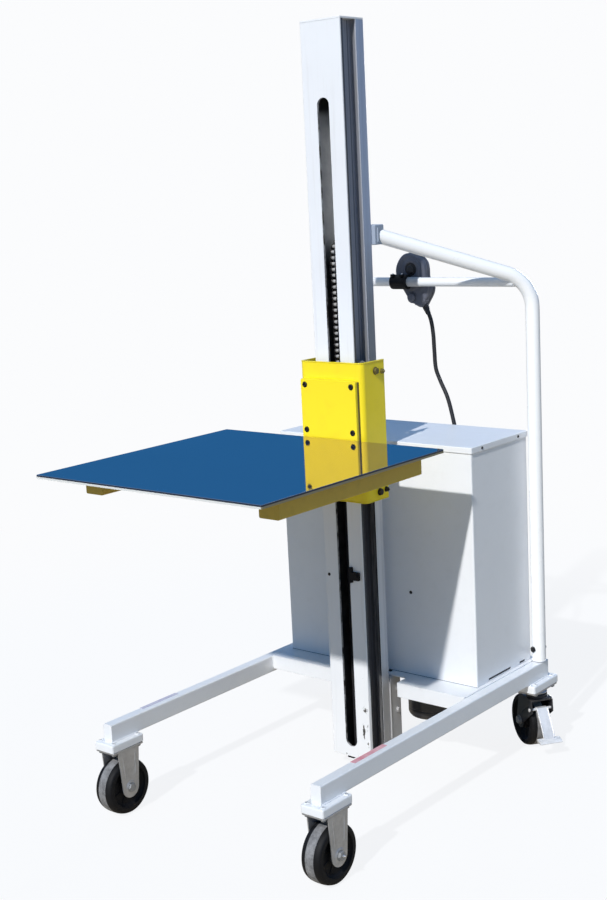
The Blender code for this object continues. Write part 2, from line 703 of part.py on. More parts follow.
def make_control():
    """Flat housing with two buttons in wells in its front face."""
    button_z = {"up_button": 1.1300, "down_button": 1.0640}
    button_x, button_r = -0.031, 0.0105
    button_length, button_proud = 0.0130, 0.0070
    well_clearance = 0.0008
    front, rear = CONTROL_Y
    control = plate("control_housing", CONTROL_OUTLINE, rear - front)
    # outline to X and Z, thickness to Y
    control.data.transform(Matrix(((1, 0, 0, 0), (0, 0, -1, (front + rear) / 2),
                                   (0, 1, 0, 0), (0, 0, 0, 1))))
    wells = [rod("well", (button_x, front - OVERCUT, z), 2 * OVERCUT, "y",
                 button_r + well_clearance)
             for z in button_z.values()]
    finish(cut(control, *wells), GREY)

    for name, z in button_z.items():
        finish(rod(name, (button_x, front - button_proud, z), button_length, "y", button_r),
               BLACK)


def make_control_clamp():
    """Ring around the crossbar in front of the control."""
    start, length, radius = -0.077, 0.045, 0.0175
    clamp = rod("control_clamp", (start, BAR_Y, BAR_Z), length, "x", radius, 28)
    hole = rod("bar_hole", (start - OVERCUT, BAR_Y, BAR_Z), length + 2 * OVERCUT, "x",
               BAR_R + GAP, 28)
    finish(cut(clamp, hole), BLACK)


# (x, y, z) stations of the hanging cord, from the control down to the bend
CORD_STATIONS = [
    (-0.008, 0.322, CONTROL_BOTTOM - 0.0022), (0.003, 0.324, 1.010), (0.0095, 0.326, 0.975),
    (0.0105, 0.329, 0.935), (0.0135, 0.331, 0.893), (0.0240, 0.333, 0.862),
    (0.0430, 0.334, 0.821), (0.0570, 0.335, 0.766), (CORD_HOLE_X, 0.334, 0.722),
]


def cord_path():
    """A smooth curve through the stations, then a bend into the cabinet's back."""
    steps, bend_steps = 3, 4
    bend_y, bend_forward, bend_drop = 0.316, 0.018, 0.022
    inner_reach = 0.006
    keys = [Vector(station) for station in CORD_STATIONS]
    padded = [keys[0], *keys, keys[-1]]
    path = [keys[0]]
    for before, start, end, after in zip(padded, padded[1:], padded[2:], padded[3:]):
        for k in range(1, steps + 1):
            t = k / steps
            # Catmull-Rom
            path.append(0.5 * ((2 * start) + (end - before) * t
                               + (2 * before - 5 * start + 4 * end - after) * t * t
                               + (3 * start - before - 3 * end + after) * t ** 3))
    for k in range(1, bend_steps + 1):
        angle = math.pi / 2 * k / bend_steps
        path.append((CORD_HOLE_X, bend_y + bend_forward * math.cos(angle),
                     keys[-1].z - bend_drop * math.sin(angle)))
    path.append((CORD_HOLE_X, CABINET_Y[1] - inner_reach, CORD_HOLE_Z))
    return path


def make_cord():
    radius = 0.0048
    finish(tube("control_cord", cord_path(), radius), BLACK)


# ---------------------------------------------------------------- casters
def make_wheel(name, at):
    """Caster wheel on X: crowned tread, recessed web, hub with its bore."""
    face, crown_face, web_face = WHEEL_W / 2, WHEEL_W / 2 * 0.60, WHEEL_W / 2 - 0.007
    crown_r, shoulder_r = WHEEL_R - 0.0010, WHEEL_R - 0.0050
    rim_r, web_r = WHEEL_R - 0.0150, WHEEL_R - 0.0190
    hub_base_r, hub_r = 0.0200, 0.0170
    profile = [(crown_r, crown_face), (WHEEL_R, 0.0), (crown_r, -crown_face),
               (shoulder_r, -face), (rim_r, -face), (web_r, -web_face),
               (hub_base_r, -web_face), (hub_r, -face), (AXLE_BORE, -face),
               (AXLE_BORE, face), (hub_r, face), (hub_base_r, web_face),
               (web_r, web_face), (rim_r, face), (shoulder_r, face)]
    return turned(name, profile, "x", at, 30)


def make_axle(name, centre, angle):
    """Bolt through a fork, head to nut along +X turned by angle."""
    shank_x, shank_length = -0.0290, 0.0620
    head_x, head_t = -0.0305, 0.0050
    nut_t, hexagon_r = 0.0065, 0.0098
    bolt = rod(name, (shank_x, 0, 0), shank_length, "x", AXLE_R, AXLE_SEGMENTS)
    bolt = join(bolt, rod("head", (head_x, 0, 0), head_t, "x", hexagon_r, 6),
                rod("nut", (FORK_OUT + GAP, 0, 0), nut_t, "x", hexagon_r, 6))
    finish(place_local(bolt, centre, angle), ZINC)


def add_ears(fork, leading, trailing, axle_x, radius):
    """Join two fork ears: edge points in (along, up) down to a round end at the axle."""
    steps = 12
    angles = [math.pi * (1 + i / steps) for i in range(steps + 1)]
    end = [(axle_x + radius * math.cos(angle), WHEEL_R + radius * math.sin(angle))
           for angle in angles]
    for sign in (-1, 1):
        ear = plate("ear", [*leading, *end, *trailing], FORK_OUT - FORK_IN)
        fork = join(fork, stand_up(ear, sign * (FORK_IN + FORK_OUT) / 2))
    return fork


def cross_hole(x, z, radius, segments):
    """Cutter across a fork, along its local Y."""
    half_length = 0.05
    return rod("cross_hole", (x, -half_length, z), 2 * half_length, "y", radius, segments)


def make_front_caster(side, sign):
    """Rigid caster; the fork's local X runs along the rolling direction (world Y)."""
    plate_x, plate_y = centred(0.0455), centred(0.027)
    ear_half_w, ear_end_r, ear_overlap = 0.031, 0.0235, 0.001
    ear_top = CASTER_PLATE_Z[0] + ear_overlap
    x = sign * LEG_X
    hub = (x, FRONT_WHEEL_Y, WHEEL_R)
    fork = box(f"front_fork_{side}", plate_x, plate_y, CASTER_PLATE_Z, "z", CASTER_CORNER_R)
    fork = add_ears(fork, [(-ear_half_w, ear_top)], [(ear_half_w, ear_top)], 0.0, ear_end_r)
    fork = cut(fork, cross_hole(0, WHEEL_R, AXLE_BORE, AXLE_SEGMENTS))
    finish(place_local(fork, (x, FRONT_WHEEL_Y, 0), math.pi / 2), ZINC)
    finish(make_wheel(f"front_wheel_{side}", hub), BLACK)
    make_axle(f"front_axle_{side}", hub, 0.0 if sign > 0 else math.pi)


def make_rear_caster_plate(side, x):
    """Top plate with the bearing ring and the king pin with its rivet head."""
    half_w, half_length = 0.027, 0.0525
    race_z, race_t, race_r = 0.1408, 0.0100, 0.0250
    pin_z, pin_length, pin_r = 0.1226, 0.0220, 0.0060
    rivet_t, rivet_r = 0.0042, 0.0085
    top = box(f"rear_caster_plate_{side}", around(x, half_w), around(SWIVEL_Y, half_length),
              CASTER_PLATE_Z, "z", CASTER_CORNER_R)
    top = join(top, rod("race", (x, SWIVEL_Y, race_z), race_t, "z", race_r),
               rod("king_pin", (x, SWIVEL_Y, pin_z), pin_length, "z", pin_r, 16),
               rod("rivet", (x, SWIVEL_Y, pin_z), rivet_t, "z", rivet_r, 16))
    finish(top, ZINC)


def make_swivel_fork(side, place, angle):
    """Fork with a bearing ring on its crown; local X points to the trailing side."""
    crown_x, crown_z = (-0.030, 0.040), (0.1275, 0.1315)
    ring_z, ring_t, ring_r = 0.1305, 0.0100, 0.0250
    ear_top, ear_end_r, ear_knee = 0.1290, 0.019, (-0.033, 0.1000)
    king_hole_z, king_hole_length, king_hole_r = 0.10, 0.06, 0.0064
    fork = box(f"swivel_fork_{side}", crown_x, centred(FORK_OUT), crown_z, "z", CASTER_CORNER_R)
    fork = join(fork, rod("ring", (0, 0, ring_z), ring_t, "z", ring_r))
    fork = add_ears(fork, [(crown_x[0], ear_top), ear_knee], [(crown_x[1], ear_top)],
                    TRAIL, ear_end_r)
    fork = cut(fork,
               rod("king_hole", (0, 0, king_hole_z), king_hole_length, "z", king_hole_r, 16),
               cross_hole(TRAIL, WHEEL_R, AXLE_BORE, AXLE_SEGMENTS),
               cross_hole(PEDAL_X, PEDAL_Z, PEDAL_PIN_R + GAP, 16))
    finish(place_local(fork, place, angle), BLACK)


# (along the trail, up) outlines of the brake pedal's lever and foot pad
LEVER_OUTLINE = [
    (PEDAL_X + 0.002, PEDAL_Z + 0.005), (PEDAL_X - 0.008, PEDAL_Z + 0.005),
    (-0.0600, 0.0640), (-0.0660, 0.0470), (-0.0620, 0.0435), (-0.0545, 0.0600),
    (PEDAL_X - 0.0030, PEDAL_Z - 0.0050), (PEDAL_X + 0.003, PEDAL_Z - 0.004),
]
PAD_OUTLINE = [(-0.0600, 0.0480), (-0.0770, 0.0440), (-0.0800, 0.0400), (-0.0640, 0.0400),
               (-0.0590, 0.0440)]


def make_brake_pedal(side, place, angle):
    """Pin through the fork's ears, lever between them and foot pad; origin on the pin."""
    pin_half_length, lever_w, pad_w = 0.0275, 0.0360, 0.0560
    pedal = rod(f"brake_pedal_{side}", (PEDAL_X, -pin_half_length, PEDAL_Z),
                2 * pin_half_length, "y", PEDAL_PIN_R, 16)
    pedal = join(pedal, stand_up(plate("lever", LEVER_OUTLINE, lever_w), 0.0),
                 stand_up(plate("pad", PAD_OUTLINE, pad_w), 0.0))
    place_local(pedal, place, angle)
    along = Vector((math.cos(angle), math.sin(angle), 0))
    move_origin(pedal, place + along * PEDAL_X + Vector((0, 0, PEDAL_Z)))
    finish(pedal, ZINC)


def make_rear_caster(side, sign):
    x, angle = sign * LEG_X, REAR_TURN[side]
    place = Vector((x, SWIVEL_Y, 0))
    hub = place + Vector((TRAIL * math.cos(angle), TRAIL * math.sin(angle), WHEEL_R))
    across = angle + math.pi / 2
    make_rear_caster_plate(side, x)
    make_swivel_fork(side, place, angle)
    finish(place_local(make_wheel(f"rear_wheel_{side}", (0, 0, 0)), hub, across), BLACK)
    make_axle(f"rear_axle_{side}", hub, across)
    make_brake_pedal(side, place, angle)


# ---------------------------------------------------------------- assembly
for side, sign in SIDES:
    make_leg(side, sign)
make_deck()
make_rear_cross_tube()
make_mast_foot_bracket()
make_mast()
make_mast_cap()
make_limit_switch()
make_ram()
make_crosshead()
make_chain_wheel()
make_chain()
make_carriage_housing()
for side, sign in SIDES:
    for level, z in ROLLER_Z.items():
        make_roller(side, sign, level, z)
        make_roller_axle(side, sign, level, z)
make_platform_bracket()
make_platform()
make_cabinet_body()
make_cabinet_lid()
make_battery()
make_power_unit()
make_hose()
make_handle()
make_control()
make_control_clamp()
make_cord()
for side, sign in SIDES:
    make_front_caster(side, sign)
    make_rear_caster(side, sign)

# move everything into the part's frame
bpy.context.view_layer.update()
for piece in PARTS.objects:
    piece.matrix_world = Matrix.Translation((0, FRAME_Y, 0)) @ piece.matrix_world
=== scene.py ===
"""Looks of a powered platform lift: detailed solids, finishes, floor, lights and camera.

Lengths are metres. Z is up from the floor, X runs across the lift (left is -X), the platform
points to the front (-Y), and the cabinet and handle stand at the rear (+Y). Shapes are laid out
in the design frame, whose Y = 0 is the middle of the mast; Piece.finish moves them by SHIFT
into the part's frame.
"""
import math
import random

import bmesh
import bpy
from mathutils import Matrix, Vector


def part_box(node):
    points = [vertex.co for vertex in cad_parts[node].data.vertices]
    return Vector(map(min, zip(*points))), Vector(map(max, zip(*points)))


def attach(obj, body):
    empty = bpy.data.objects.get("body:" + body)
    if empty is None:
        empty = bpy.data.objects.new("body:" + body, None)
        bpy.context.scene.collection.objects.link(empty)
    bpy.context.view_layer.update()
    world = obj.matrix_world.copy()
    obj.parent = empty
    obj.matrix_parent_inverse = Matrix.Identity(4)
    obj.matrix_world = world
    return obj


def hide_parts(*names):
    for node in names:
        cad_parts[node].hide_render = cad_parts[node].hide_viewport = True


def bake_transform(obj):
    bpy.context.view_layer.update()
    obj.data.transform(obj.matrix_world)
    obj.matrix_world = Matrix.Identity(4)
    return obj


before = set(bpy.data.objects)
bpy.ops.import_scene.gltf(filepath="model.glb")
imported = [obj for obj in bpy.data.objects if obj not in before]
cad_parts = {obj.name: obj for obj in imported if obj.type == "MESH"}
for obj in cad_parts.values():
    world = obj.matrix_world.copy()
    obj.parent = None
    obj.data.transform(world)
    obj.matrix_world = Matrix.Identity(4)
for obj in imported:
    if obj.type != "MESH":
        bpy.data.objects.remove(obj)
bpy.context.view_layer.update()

MAST_FRONT_Y = -0.043
ORIGIN_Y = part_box("mast_section")[0].y - MAST_FRONT_Y
SHIFT = Matrix.Translation((0, ORIGIN_Y, 0))

SIDES = (("left", -1), ("right", 1))
BOTH = (-1, 1)
ACROSS, REARWARD, FORWARD = (1, 0, 0), (0, 1, 0), (0, -1, 0)
UP, DOWN = (0, 0, 1), (0, 0, -1)

PIECES = bpy.data.collections.new("lift_looks")
bpy.context.scene.collection.children.link(PIECES)


# =============================================================== placing
def aim(direction, place=(0, 0, 0), roll=0.0):
    """Matrix that turns local +Z to a direction and moves to a point."""
    turn = Vector(direction).normalized().to_track_quat("Z", "Y").to_matrix().to_4x4()
    return Matrix.Translation(place) @ turn @ Matrix.Rotation(roll, 4, "Z")


def at(*place):
    return Matrix.Translation(place)


def turn_z(angle):
    return Matrix.Rotation(angle, 4, "Z")


def stand_yz(x):
    """Stands an XY outline up in the Y, Z plane at x."""
    return Matrix(((0, 0, 1, x), (1, 0, 0, 0), (0, 1, 0, 0), (0, 0, 0, 1)))


# Stands an XY outline up in the X, Z plane
STAND_XZ = Matrix(((1, 0, 0, 0), (0, 0, 1, 0), (0, 1, 0, 0), (0, 0, 0, 1)))


def placed(solid, place):
    bmesh.ops.transform(solid, matrix=place, verts=solid.verts)
    return solid


def side_span(side, inner, outer):
    """X limits of something between two distances from the middle, on one side."""
    return sorted((side * inner, side * outer))


# =============================================================== solids
def soften(solid, edges, width, segments=2):
    bmesh.ops.bevel(solid, geom=edges, offset=width, segments=segments, profile=0.5,
                    affect="EDGES", clamp_overlap=True)


def sharp_edges(solid, angle=60):
    return [e for e in solid.edges
            if len(e.link_faces) == 2 and e.calc_face_angle(0.0) > math.radians(angle)]


def edges_where(solid, test):
    """Edges whose two ends both pass a test on their place."""
    return [e for e in solid.edges if all(test(v.co) for v in e.verts)]


def block(x, y, z, radius=0.0, segments=2, axis=None):
    """A block between limits. axis 'x', 'y' or 'z' rounds only the edges parallel to it."""
    solid = bmesh.new()
    middle = [(low + high) / 2 for low, high in (x, y, z)]
    size = [high - low for low, high in (x, y, z)]
    bmesh.ops.create_cube(solid, size=1.0, matrix=at(*middle) @ Matrix.Diagonal((*size, 1.0)))
    if radius > 0:
        edges = solid.edges[:]
        if axis:
            k = "xyz".index(axis)
            edges = [e for e in edges
                     if abs((e.verts[0].co - e.verts[1].co).normalized()[k]) > 0.9]
        soften(solid, edges, radius, segments)
    return solid


def turned(profile, segments=48, closed=False):
    """Turned shape about local Z. profile is (radius, height); radius 0 closes an end."""
    solid = bmesh.new()
    rings = []
    for radius, z in profile:
        if radius < 1e-7:
            rings.append([solid.verts.new((0, 0, z))])
            continue
        angles = [2 * math.pi * k / segments for k in range(segments)]
        rings.append([solid.verts.new((radius * math.cos(a), radius * math.sin(a), z))
                      for a in angles])
    pairs = list(zip(rings, rings[1:])) + ([(rings[-1], rings[0])] if closed else [])
    for a, b in pairs:
        for k in range(segments):
            j = (k + 1) % segments
            if len(a) == 1:
                solid.faces.new((a[0], b[j], b[k]))
            elif len(b) == 1:
                solid.faces.new((a[k], a[j], b[0]))
            else:
                solid.faces.new((a[k], a[j], b[j], b[k]))
    bmesh.ops.recalc_face_normals(solid, faces=solid.faces)
    return solid


def mirrored(profile):
    """A turned profile followed by its mirror image in z = 0."""
    return profile + [(radius, -z) for radius, z in reversed(profile)]


def cylinder(radius, height, segments=32, rim=0.0004, top_radius=None):
    """Cylinder from z = 0 to height with softened rims."""
    top = radius if top_radius is None else top_radius
    rim = min(rim, height * 0.3, radius * 0.3)
    return turned([(0, 0), (radius - rim, 0), (radius - rim * 0.3, rim * 0.3), (radius, rim),
                   (top, height - rim), (top - rim * 0.3, height - rim * 0.3),
                   (top - rim, height), (0, height)], segments)


def ring(outer, inner, height, segments=32, rim=0.0003):
    return turned([(inner, 0), (outer - rim, 0), (outer, rim), (outer, height - rim),
                   (outer - rim, height), (inner, height)], segments, closed=True)


def sheet(points, thickness, rim=0.0):
    """A flat outline in local XY, thickness centred on Z, with softened rims."""
    solid = bmesh.new()
    face = solid.faces.new([solid.verts.new((u, v, -thickness / 2)) for u, v in points])
    made = bmesh.ops.extrude_face_region(solid, geom=[face])["geom"]
    moved = [v for v in made if isinstance(v, bmesh.types.BMVert)]
    bmesh.ops.translate(solid, verts=moved, vec=(0, 0, thickness))
    bmesh.ops.recalc_face_normals(solid, faces=solid.faces)
    if rim > 0:
        edges = [e for e in sharp_edges(solid)
                 if abs(e.verts[0].co.z - e.verts[1].co.z) < 1e-6]
        soften(solid, edges, rim)
    return solid


def loft(rings):
    """Closed skin over rings of points, with both ends capped."""
    solid = bmesh.new()
    rings = [[solid.verts.new(point) for point in points] for points in rings]
    count = len(rings[0])
    for a, b in zip(rings, rings[1:]):
        for k in range(count):
            j = (k + 1) % count
            solid.faces.new((a[k], a[j], b[j], b[k]))
    solid.faces.new(rings[0])
    solid.faces.new(list(reversed(rings[-1])))
    bmesh.ops.recalc_face_normals(solid, faces=solid.faces)
    return solid


def tube(path, radius, segments=24):
    """Round bar along a path. radius may be a list, one for each point."""
    points = [Vector(p) for p in path]
    last = len(points) - 1
    tangents = [(points[min(i + 1, last)] - points[max(i - 1, 0)]).normalized()
                for i in range(len(points))]
    radii = radius if isinstance(radius, (list, tuple)) else [radius] * len(points)
    upright = Vector(UP) if abs(tangents[0].z) < 0.9 else Vector(ACROSS)
    across = tangents[0].cross(upright).normalized()
    rings = []
    for point, tangent, r in zip(points, tangents, radii):
        # carry the frame along the path, so that the skin doesn't twist
        across = (across - tangent * across.dot(tangent)).normalized()
        over = tangent.cross(across)
        angles = [2 * math.pi * k / segments for k in range(segments)]
        rings.append([point + across * (r * math.cos(a)) + over * (r * math.sin(a))
                      for a in angles])
    return loft(rings)


def hexagon(corner_radius, height):
    """Hexagon head or nut: washer face below, turned chamfer that cuts the corners low."""
    segments, sector = 36, math.pi / 3
    angles = [2 * math.pi * k / segments for k in range(segments)]
    reach = [corner_radius * math.cos(sector / 2)
             / math.cos(((a + sector / 2) % sector) - sector / 2) for a in angles]
    washer = [corner_radius * 0.93 * 0.9] * segments
    crown = [corner_radius * 0.84] * segments
    foot = [height * 0.10] * segments
    chamfer = [height - (r - corner_radius * 0.866) * 0.6 - 0.0001 for r in reach]
    levels = ((washer, [0.0] * segments), (washer, foot), (reach, foot), (reach, chamfer),
              (crown, [height] * segments))
    return loft([[(r * math.cos(a), r * math.sin(a), z) for r, a, z in zip(radii, angles, zs)]
                 for radii, zs in levels])


def dome_head(radius, height):
    """Domed screw head with a round socket recess."""
    profile = [(0, 0.0), (radius, 0.0)]
    for k in range(1, 6):
        a = math.radians(90 * k / 6)
        profile.append((radius * math.cos(a) * 0.98 + radius * 0.02, height * math.sin(a)))
    profile += [(radius * 0.46, height * 0.99), (radius * 0.42, height * 0.92),
                (radius * 0.42, height * 0.35), (0, height * 0.28)]
    return turned(profile, 24)


def weld(start, end, radius, seed):
    """A weld bead: a scalloped, slightly wandering ridge between two points."""
    scallop, wander = 0.0022, 0.00008
    start, end = Vector(start), Vector(end)
    length = (end - start).length
    count = max(4, int(length / (scallop / 3)))
    sideways = (end - start).normalized().cross(Vector(UP)).normalized()
    draw = random.Random(seed)
    offset, radii, path = 0.0, [], []
    for i in range(count + 1):
        t = i / count
        offset = offset * 0.9 + draw.uniform(-1, 1) * wander
        taper = min(1.0, min(t, 1 - t) * length / (radius * 1.2) + 0.25)
        ripple = abs(math.sin(math.pi * t * length / scallop))
        radii.append(radius * taper * (0.86 + 0.14 * ripple))
        path.append(start + (end - start) * t + sideways * offset)
    return tube(path, radii, 8)


# =============================================================== outlines and paths
def arc(centre, radius, start, end, count):
    """Points of an arc between two angles in degrees."""
    angles = [math.radians(start + (end - start) * i / count) for i in range(count + 1)]
    return [(centre[0] + radius * math.cos(a), centre[1] + radius * math.sin(a)) for a in angles]


def fillet_path(start, corner, end, radius, count=16):
    a, b, c = Vector(start), Vector(corner), Vector(end)
    u, v = (a - b).normalized(), (c - b).normalized()
    half = u.angle(v) / 2
    reach = radius / math.tan(half)
    centre = b + (u + v).normalized() * (radius / math.sin(half))
    p, q = b + u * reach - centre, b + v * reach - centre
    sweep = p.angle(q)
    bend = [centre + (p * math.sin((1 - i / count) * sweep)
                      + q * math.sin(i / count * sweep)) / math.sin(sweep)
            for i in range(count + 1)]
    return [a] + bend + [c]


def curve_point(p0, p1, p2, p3, t):
    """Catmull-Rom point between p1 and p2."""
    return 0.5 * ((2 * p1) + (p2 - p0) * t + (2 * p0 - 5 * p1 + 4 * p2 - p3) * t * t
                  + (3 * p1 - p0 - 3 * p2 + p3) * t ** 3)


def spline_path(keys, per):
    """Smooth open curve through points, in `per` steps for each span."""
    keys = [Vector(k) for k in keys]
    last = len(keys) - 1
    out = [keys[0]]
    for i in range(last):
        near = (keys[max(i - 1, 0)], keys[i], keys[i + 1], keys[min(i + 2, last)])
        out += [curve_point(*near, k / per) for k in range(1, per + 1)]
    return out


def smooth_loop(points, per=3):
    """Smooth closed curve through points."""
    out, count = [], len(points)
    for i in range(count):
        near = [Vector(points[(i + k) % count]) for k in (-1, 0, 1, 2)]
        out += [tuple(curve_point(*near, k / per)) for k in range(per)]
    return out


# =============================================================== Booleans
def as_object(solid, name):
    mesh = bpy.data.meshes.new(name)
    solid.to_mesh(mesh)
    solid.free()
    obj = bpy.data.objects.new(name, mesh)
    bpy.context.scene.collection.objects.link(obj)
    return obj


def cut(base, cutters, joins=()):
    """Exact Boolean: takes the cutters away, then joins the others on."""
    obj = as_object(base, "bool_base")
    others = []
    for operation, group in (("DIFFERENCE", cutters), ("UNION", joins)):
        for solid in group:
            other = as_object(solid, "bool_other")
            others.append(other)
            mod = obj.modifiers.new("b", "BOOLEAN")
            mod.operation, mod.solver, mod.object = operation, "EXACT", other
    bpy.context.view_layer.update()
    depsgraph = bpy.context.evaluated_depsgraph_get()
    mesh = bpy.data.meshes.new_from_object(obj.evaluated_get(depsgraph))
    out = bmesh.new()
    out.from_mesh(mesh)
    bmesh.ops.remove_doubles(out, verts=out.verts, dist=0.00001)
    bpy.data.meshes.remove(mesh)
    for other in others + [obj]:
        used = other.data
        bpy.data.objects.remove(other, do_unlink=True)
        bpy.data.meshes.remove(used)
    return out


def drill(radius, length, place, segments=24):
    """Plain round cutter along the placed +Z."""
    return placed(cylinder(radius, length, segments, rim=0.0), place)


class Piece:
    """Gathers solids into one shown object that rides on a body."""

    def __init__(self, name, materials, slot, body="base", replaces=()):
        self.name, self.slot, self.body, self.replaces = name, slot, body, replaces
        self.materials = materials if isinstance(materials, list) else [materials]
        self.solids = bmesh.new()

    def add(self, solid, place=None, material=0):
        """Adds a solid; material is an index in the piece's materials."""
        if place is not None:
            placed(solid, place)
            if place.determinant() < 0:
                bmesh.ops.reverse_faces(solid, faces=solid.faces)
        if material:
            for face in solid.faces:
                face.material_index = material
        mesh = bpy.data.meshes.new("tmp")
        solid.to_mesh(mesh)
        solid.free()
        self.solids.from_mesh(mesh)
        bpy.data.meshes.remove(mesh)

    def finish(self, blend=None):
        """Makes the object. Given blend, it bakes the placement into the mesh and gives no body
        or flat-face modifier; the bodies and ends in blend are not used.
        """
        mesh = bpy.data.meshes.new(self.name)
        self.solids.to_mesh(mesh)
        self.solids.free()
        mesh.transform(SHIFT)
        for material in self.materials:
            mesh.materials.append(material)
        mesh.shade_smooth()
        mesh.set_sharp_from_angle(angle=math.radians(32))
        obj = bpy.data.objects.new(self.name, mesh)
        PIECES.objects.link(obj)
        if blend:
            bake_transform(obj)
        else:
            flat = obj.modifiers.new("flat faces", "WEIGHTED_NORMAL")
            flat.weight, flat.keep_sharp = 100, True
            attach(obj, self.body)
        if self.replaces:
            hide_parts(*self.replaces)


# =============================================================== shader tools
class Nodes:
    """Short ways to add and wire nodes in one tree."""

    def __init__(self, tree):
        self.tree = tree
        tree.nodes.clear()

    def node(self, kind, **settings):
        node = self.tree.nodes.new(kind)
        for name, value in settings.items():
            setattr(node, name, value)
        return node

    def feed(self, socket, value):
        """Links a socket or sets a plain value."""
        if isinstance(value, bpy.types.NodeSocket):
            self.tree.links.new(value, socket)
        elif isinstance(value, tuple) and len(value) == 3 and socket.type == "RGBA":
            socket.default_value = (*value, 1.0)
        else:
            socket.default_value = value

    def separate(self, vector):
        node = self.node("ShaderNodeSeparateXYZ")
        self.feed(node.inputs[0], vector)
        return node.outputs

    def mix_shader(self, factor, first, second):
        node = self.node("ShaderNodeMixShader")
        for socket, value in zip(node.inputs, (factor, first, second)):
            self.feed(socket, value)
        return node.outputs[0]


class Finish(Nodes):
    """A node material around a Principled shader, in object coordinates."""

    def __init__(self, name):
        self.material = bpy.data.materials.new(name)
        self.material.use_nodes = True
        super().__init__(self.material.node_tree)
        self.output = self.node("ShaderNodeOutputMaterial")
        self.principled = self.node("ShaderNodeBsdfPrincipled")
        self.surface(self.principled.outputs[0])
        self.coord = self.node("ShaderNodeTexCoord").outputs["Object"]

    def surface(self, shader):
        self.feed(self.output.inputs[0], shader)

    def set(self, **inputs):
        for name, value in inputs.items():
            self.feed(self.principled.inputs[name.replace("_", " ")], value)

    def normal_parts(self):
        return self.separate(self.node("ShaderNodeNewGeometry").outputs["Normal"])

    def noise(self, scale, detail=3.0, rough=0.55, stretch=None):
        """Noise; stretch scales the coordinates along X, Y and Z first."""
        vector = self.coord
        if stretch:
            mapping = self.node("ShaderNodeMapping")
            self.feed(mapping.inputs["Vector"], vector)
            mapping.inputs["Scale"].default_value = stretch
            vector = mapping.outputs[0]
        node = self.node("ShaderNodeTexNoise")
        for name, value in (("Vector", vector), ("Scale", scale), ("Detail", detail),
                            ("Roughness", rough)):
            self.feed(node.inputs[name], value)
        return node.outputs["Fac"]

    def cells(self, scale, output="Distance"):
        node = self.node("ShaderNodeTexVoronoi")
        self.feed(node.inputs["Vector"], self.coord)
        self.feed(node.inputs["Scale"], scale)
        return node.outputs[output]

    def rise(self, value, low, high, out=(0.0, 1.0), smooth=False):
        """Goes through the range out as value goes from low to high."""
        kind = "SMOOTHSTEP" if smooth else "LINEAR"
        node = self.node("ShaderNodeMapRange", interpolation_type=kind)
        for name, number in (("Value", value), ("From Min", low), ("From Max", high),
                             ("To Min", out[0]), ("To Max", out[1])):
            self.feed(node.inputs[name], number)
        return node.outputs[0]

    def fall(self, value, low, high, smooth=False):
        """1 below low, 0 above high."""
        return self.rise(value, low, high, out=(1.0, 0.0), smooth=smooth)

    def band(self, value, up, down, smooth=False):
        """1 between the limits up, where it rises, and down, where it falls."""
        return self.times(self.rise(value, *up, smooth=smooth),
                          self.fall(value, *down, smooth=smooth))

    def math(self, operation, a, b=0.0, clamp=False):
        node = self.node("ShaderNodeMath", operation=operation, use_clamp=clamp)
        self.feed(node.inputs[0], a)
        self.feed(node.inputs[1], b)
        return node.outputs[0]

    def times(self, a, b, clamp=False):
        return self.math("MULTIPLY", a, b, clamp)

    def plus(self, a, b, clamp=False):
        return self.math("ADD", a, b, clamp)

    def minus(self, a, b):
        return self.math("SUBTRACT", a, b)

    def invert(self, value):
        return self.minus(1.0, value)

    def larger(self, a, b, clamp=False):
        return self.math("MAXIMUM", a, b, clamp)

    def above(self, value, limit):
        return self.math("GREATER_THAN", value, limit)

    def below(self, value, limit):
        return self.math("LESS_THAN", value, limit)

    def between(self, value, low, high):
        return self.times(self.above(value, low), self.below(value, high))

    def mix(self, factor, a, b):
        """Mix of two colours."""
        node = self.node("ShaderNodeMix", data_type="RGBA")
        self.feed(node.inputs["Factor"], factor)
        self.feed(node.inputs[6], a)
        self.feed(node.inputs[7], b)
        return node.outputs[2]

    def mix_value(self, factor, a, b):
        node = self.node("ShaderNodeMix", data_type="FLOAT")
        self.feed(node.inputs["Factor"], factor)
        self.feed(node.inputs[2], a)
        self.feed(node.inputs[3], b)
        return node.outputs[0]

    def bump(self, height, strength, distance, normal=None):
        node = self.node("ShaderNodeBump")
        self.feed(node.inputs["Height"], height)
        self.feed(node.inputs["Strength"], strength)
        self.feed(node.inputs["Distance"], distance)
        if normal is not None:
            self.feed(node.inputs["Normal"], normal)
        return node.outputs[0]

    def edges(self, radius):
        """1 on convex and concave edges within radius, 0 elsewhere; and the softened normal."""
        bevel = self.node("ShaderNodeBevel", samples=4)
        bevel.inputs["Radius"].default_value = radius
        geometry = self.node("ShaderNodeNewGeometry")
        dot = self.node("ShaderNodeVectorMath", operation="DOT_PRODUCT")
        self.feed(dot.inputs[0], bevel.outputs[0])
        self.feed(dot.inputs[1], geometry.outputs["Normal"])
        return self.rise(self.invert(dot.outputs["Value"]), 0.02, 0.25), bevel.outputs[0]


def tint(colour, factor, lift=0.0):
    """Colour scaled by factor and raised by lift, at most 1."""
    return tuple(min(1.0, c * factor + lift) for c in colour)


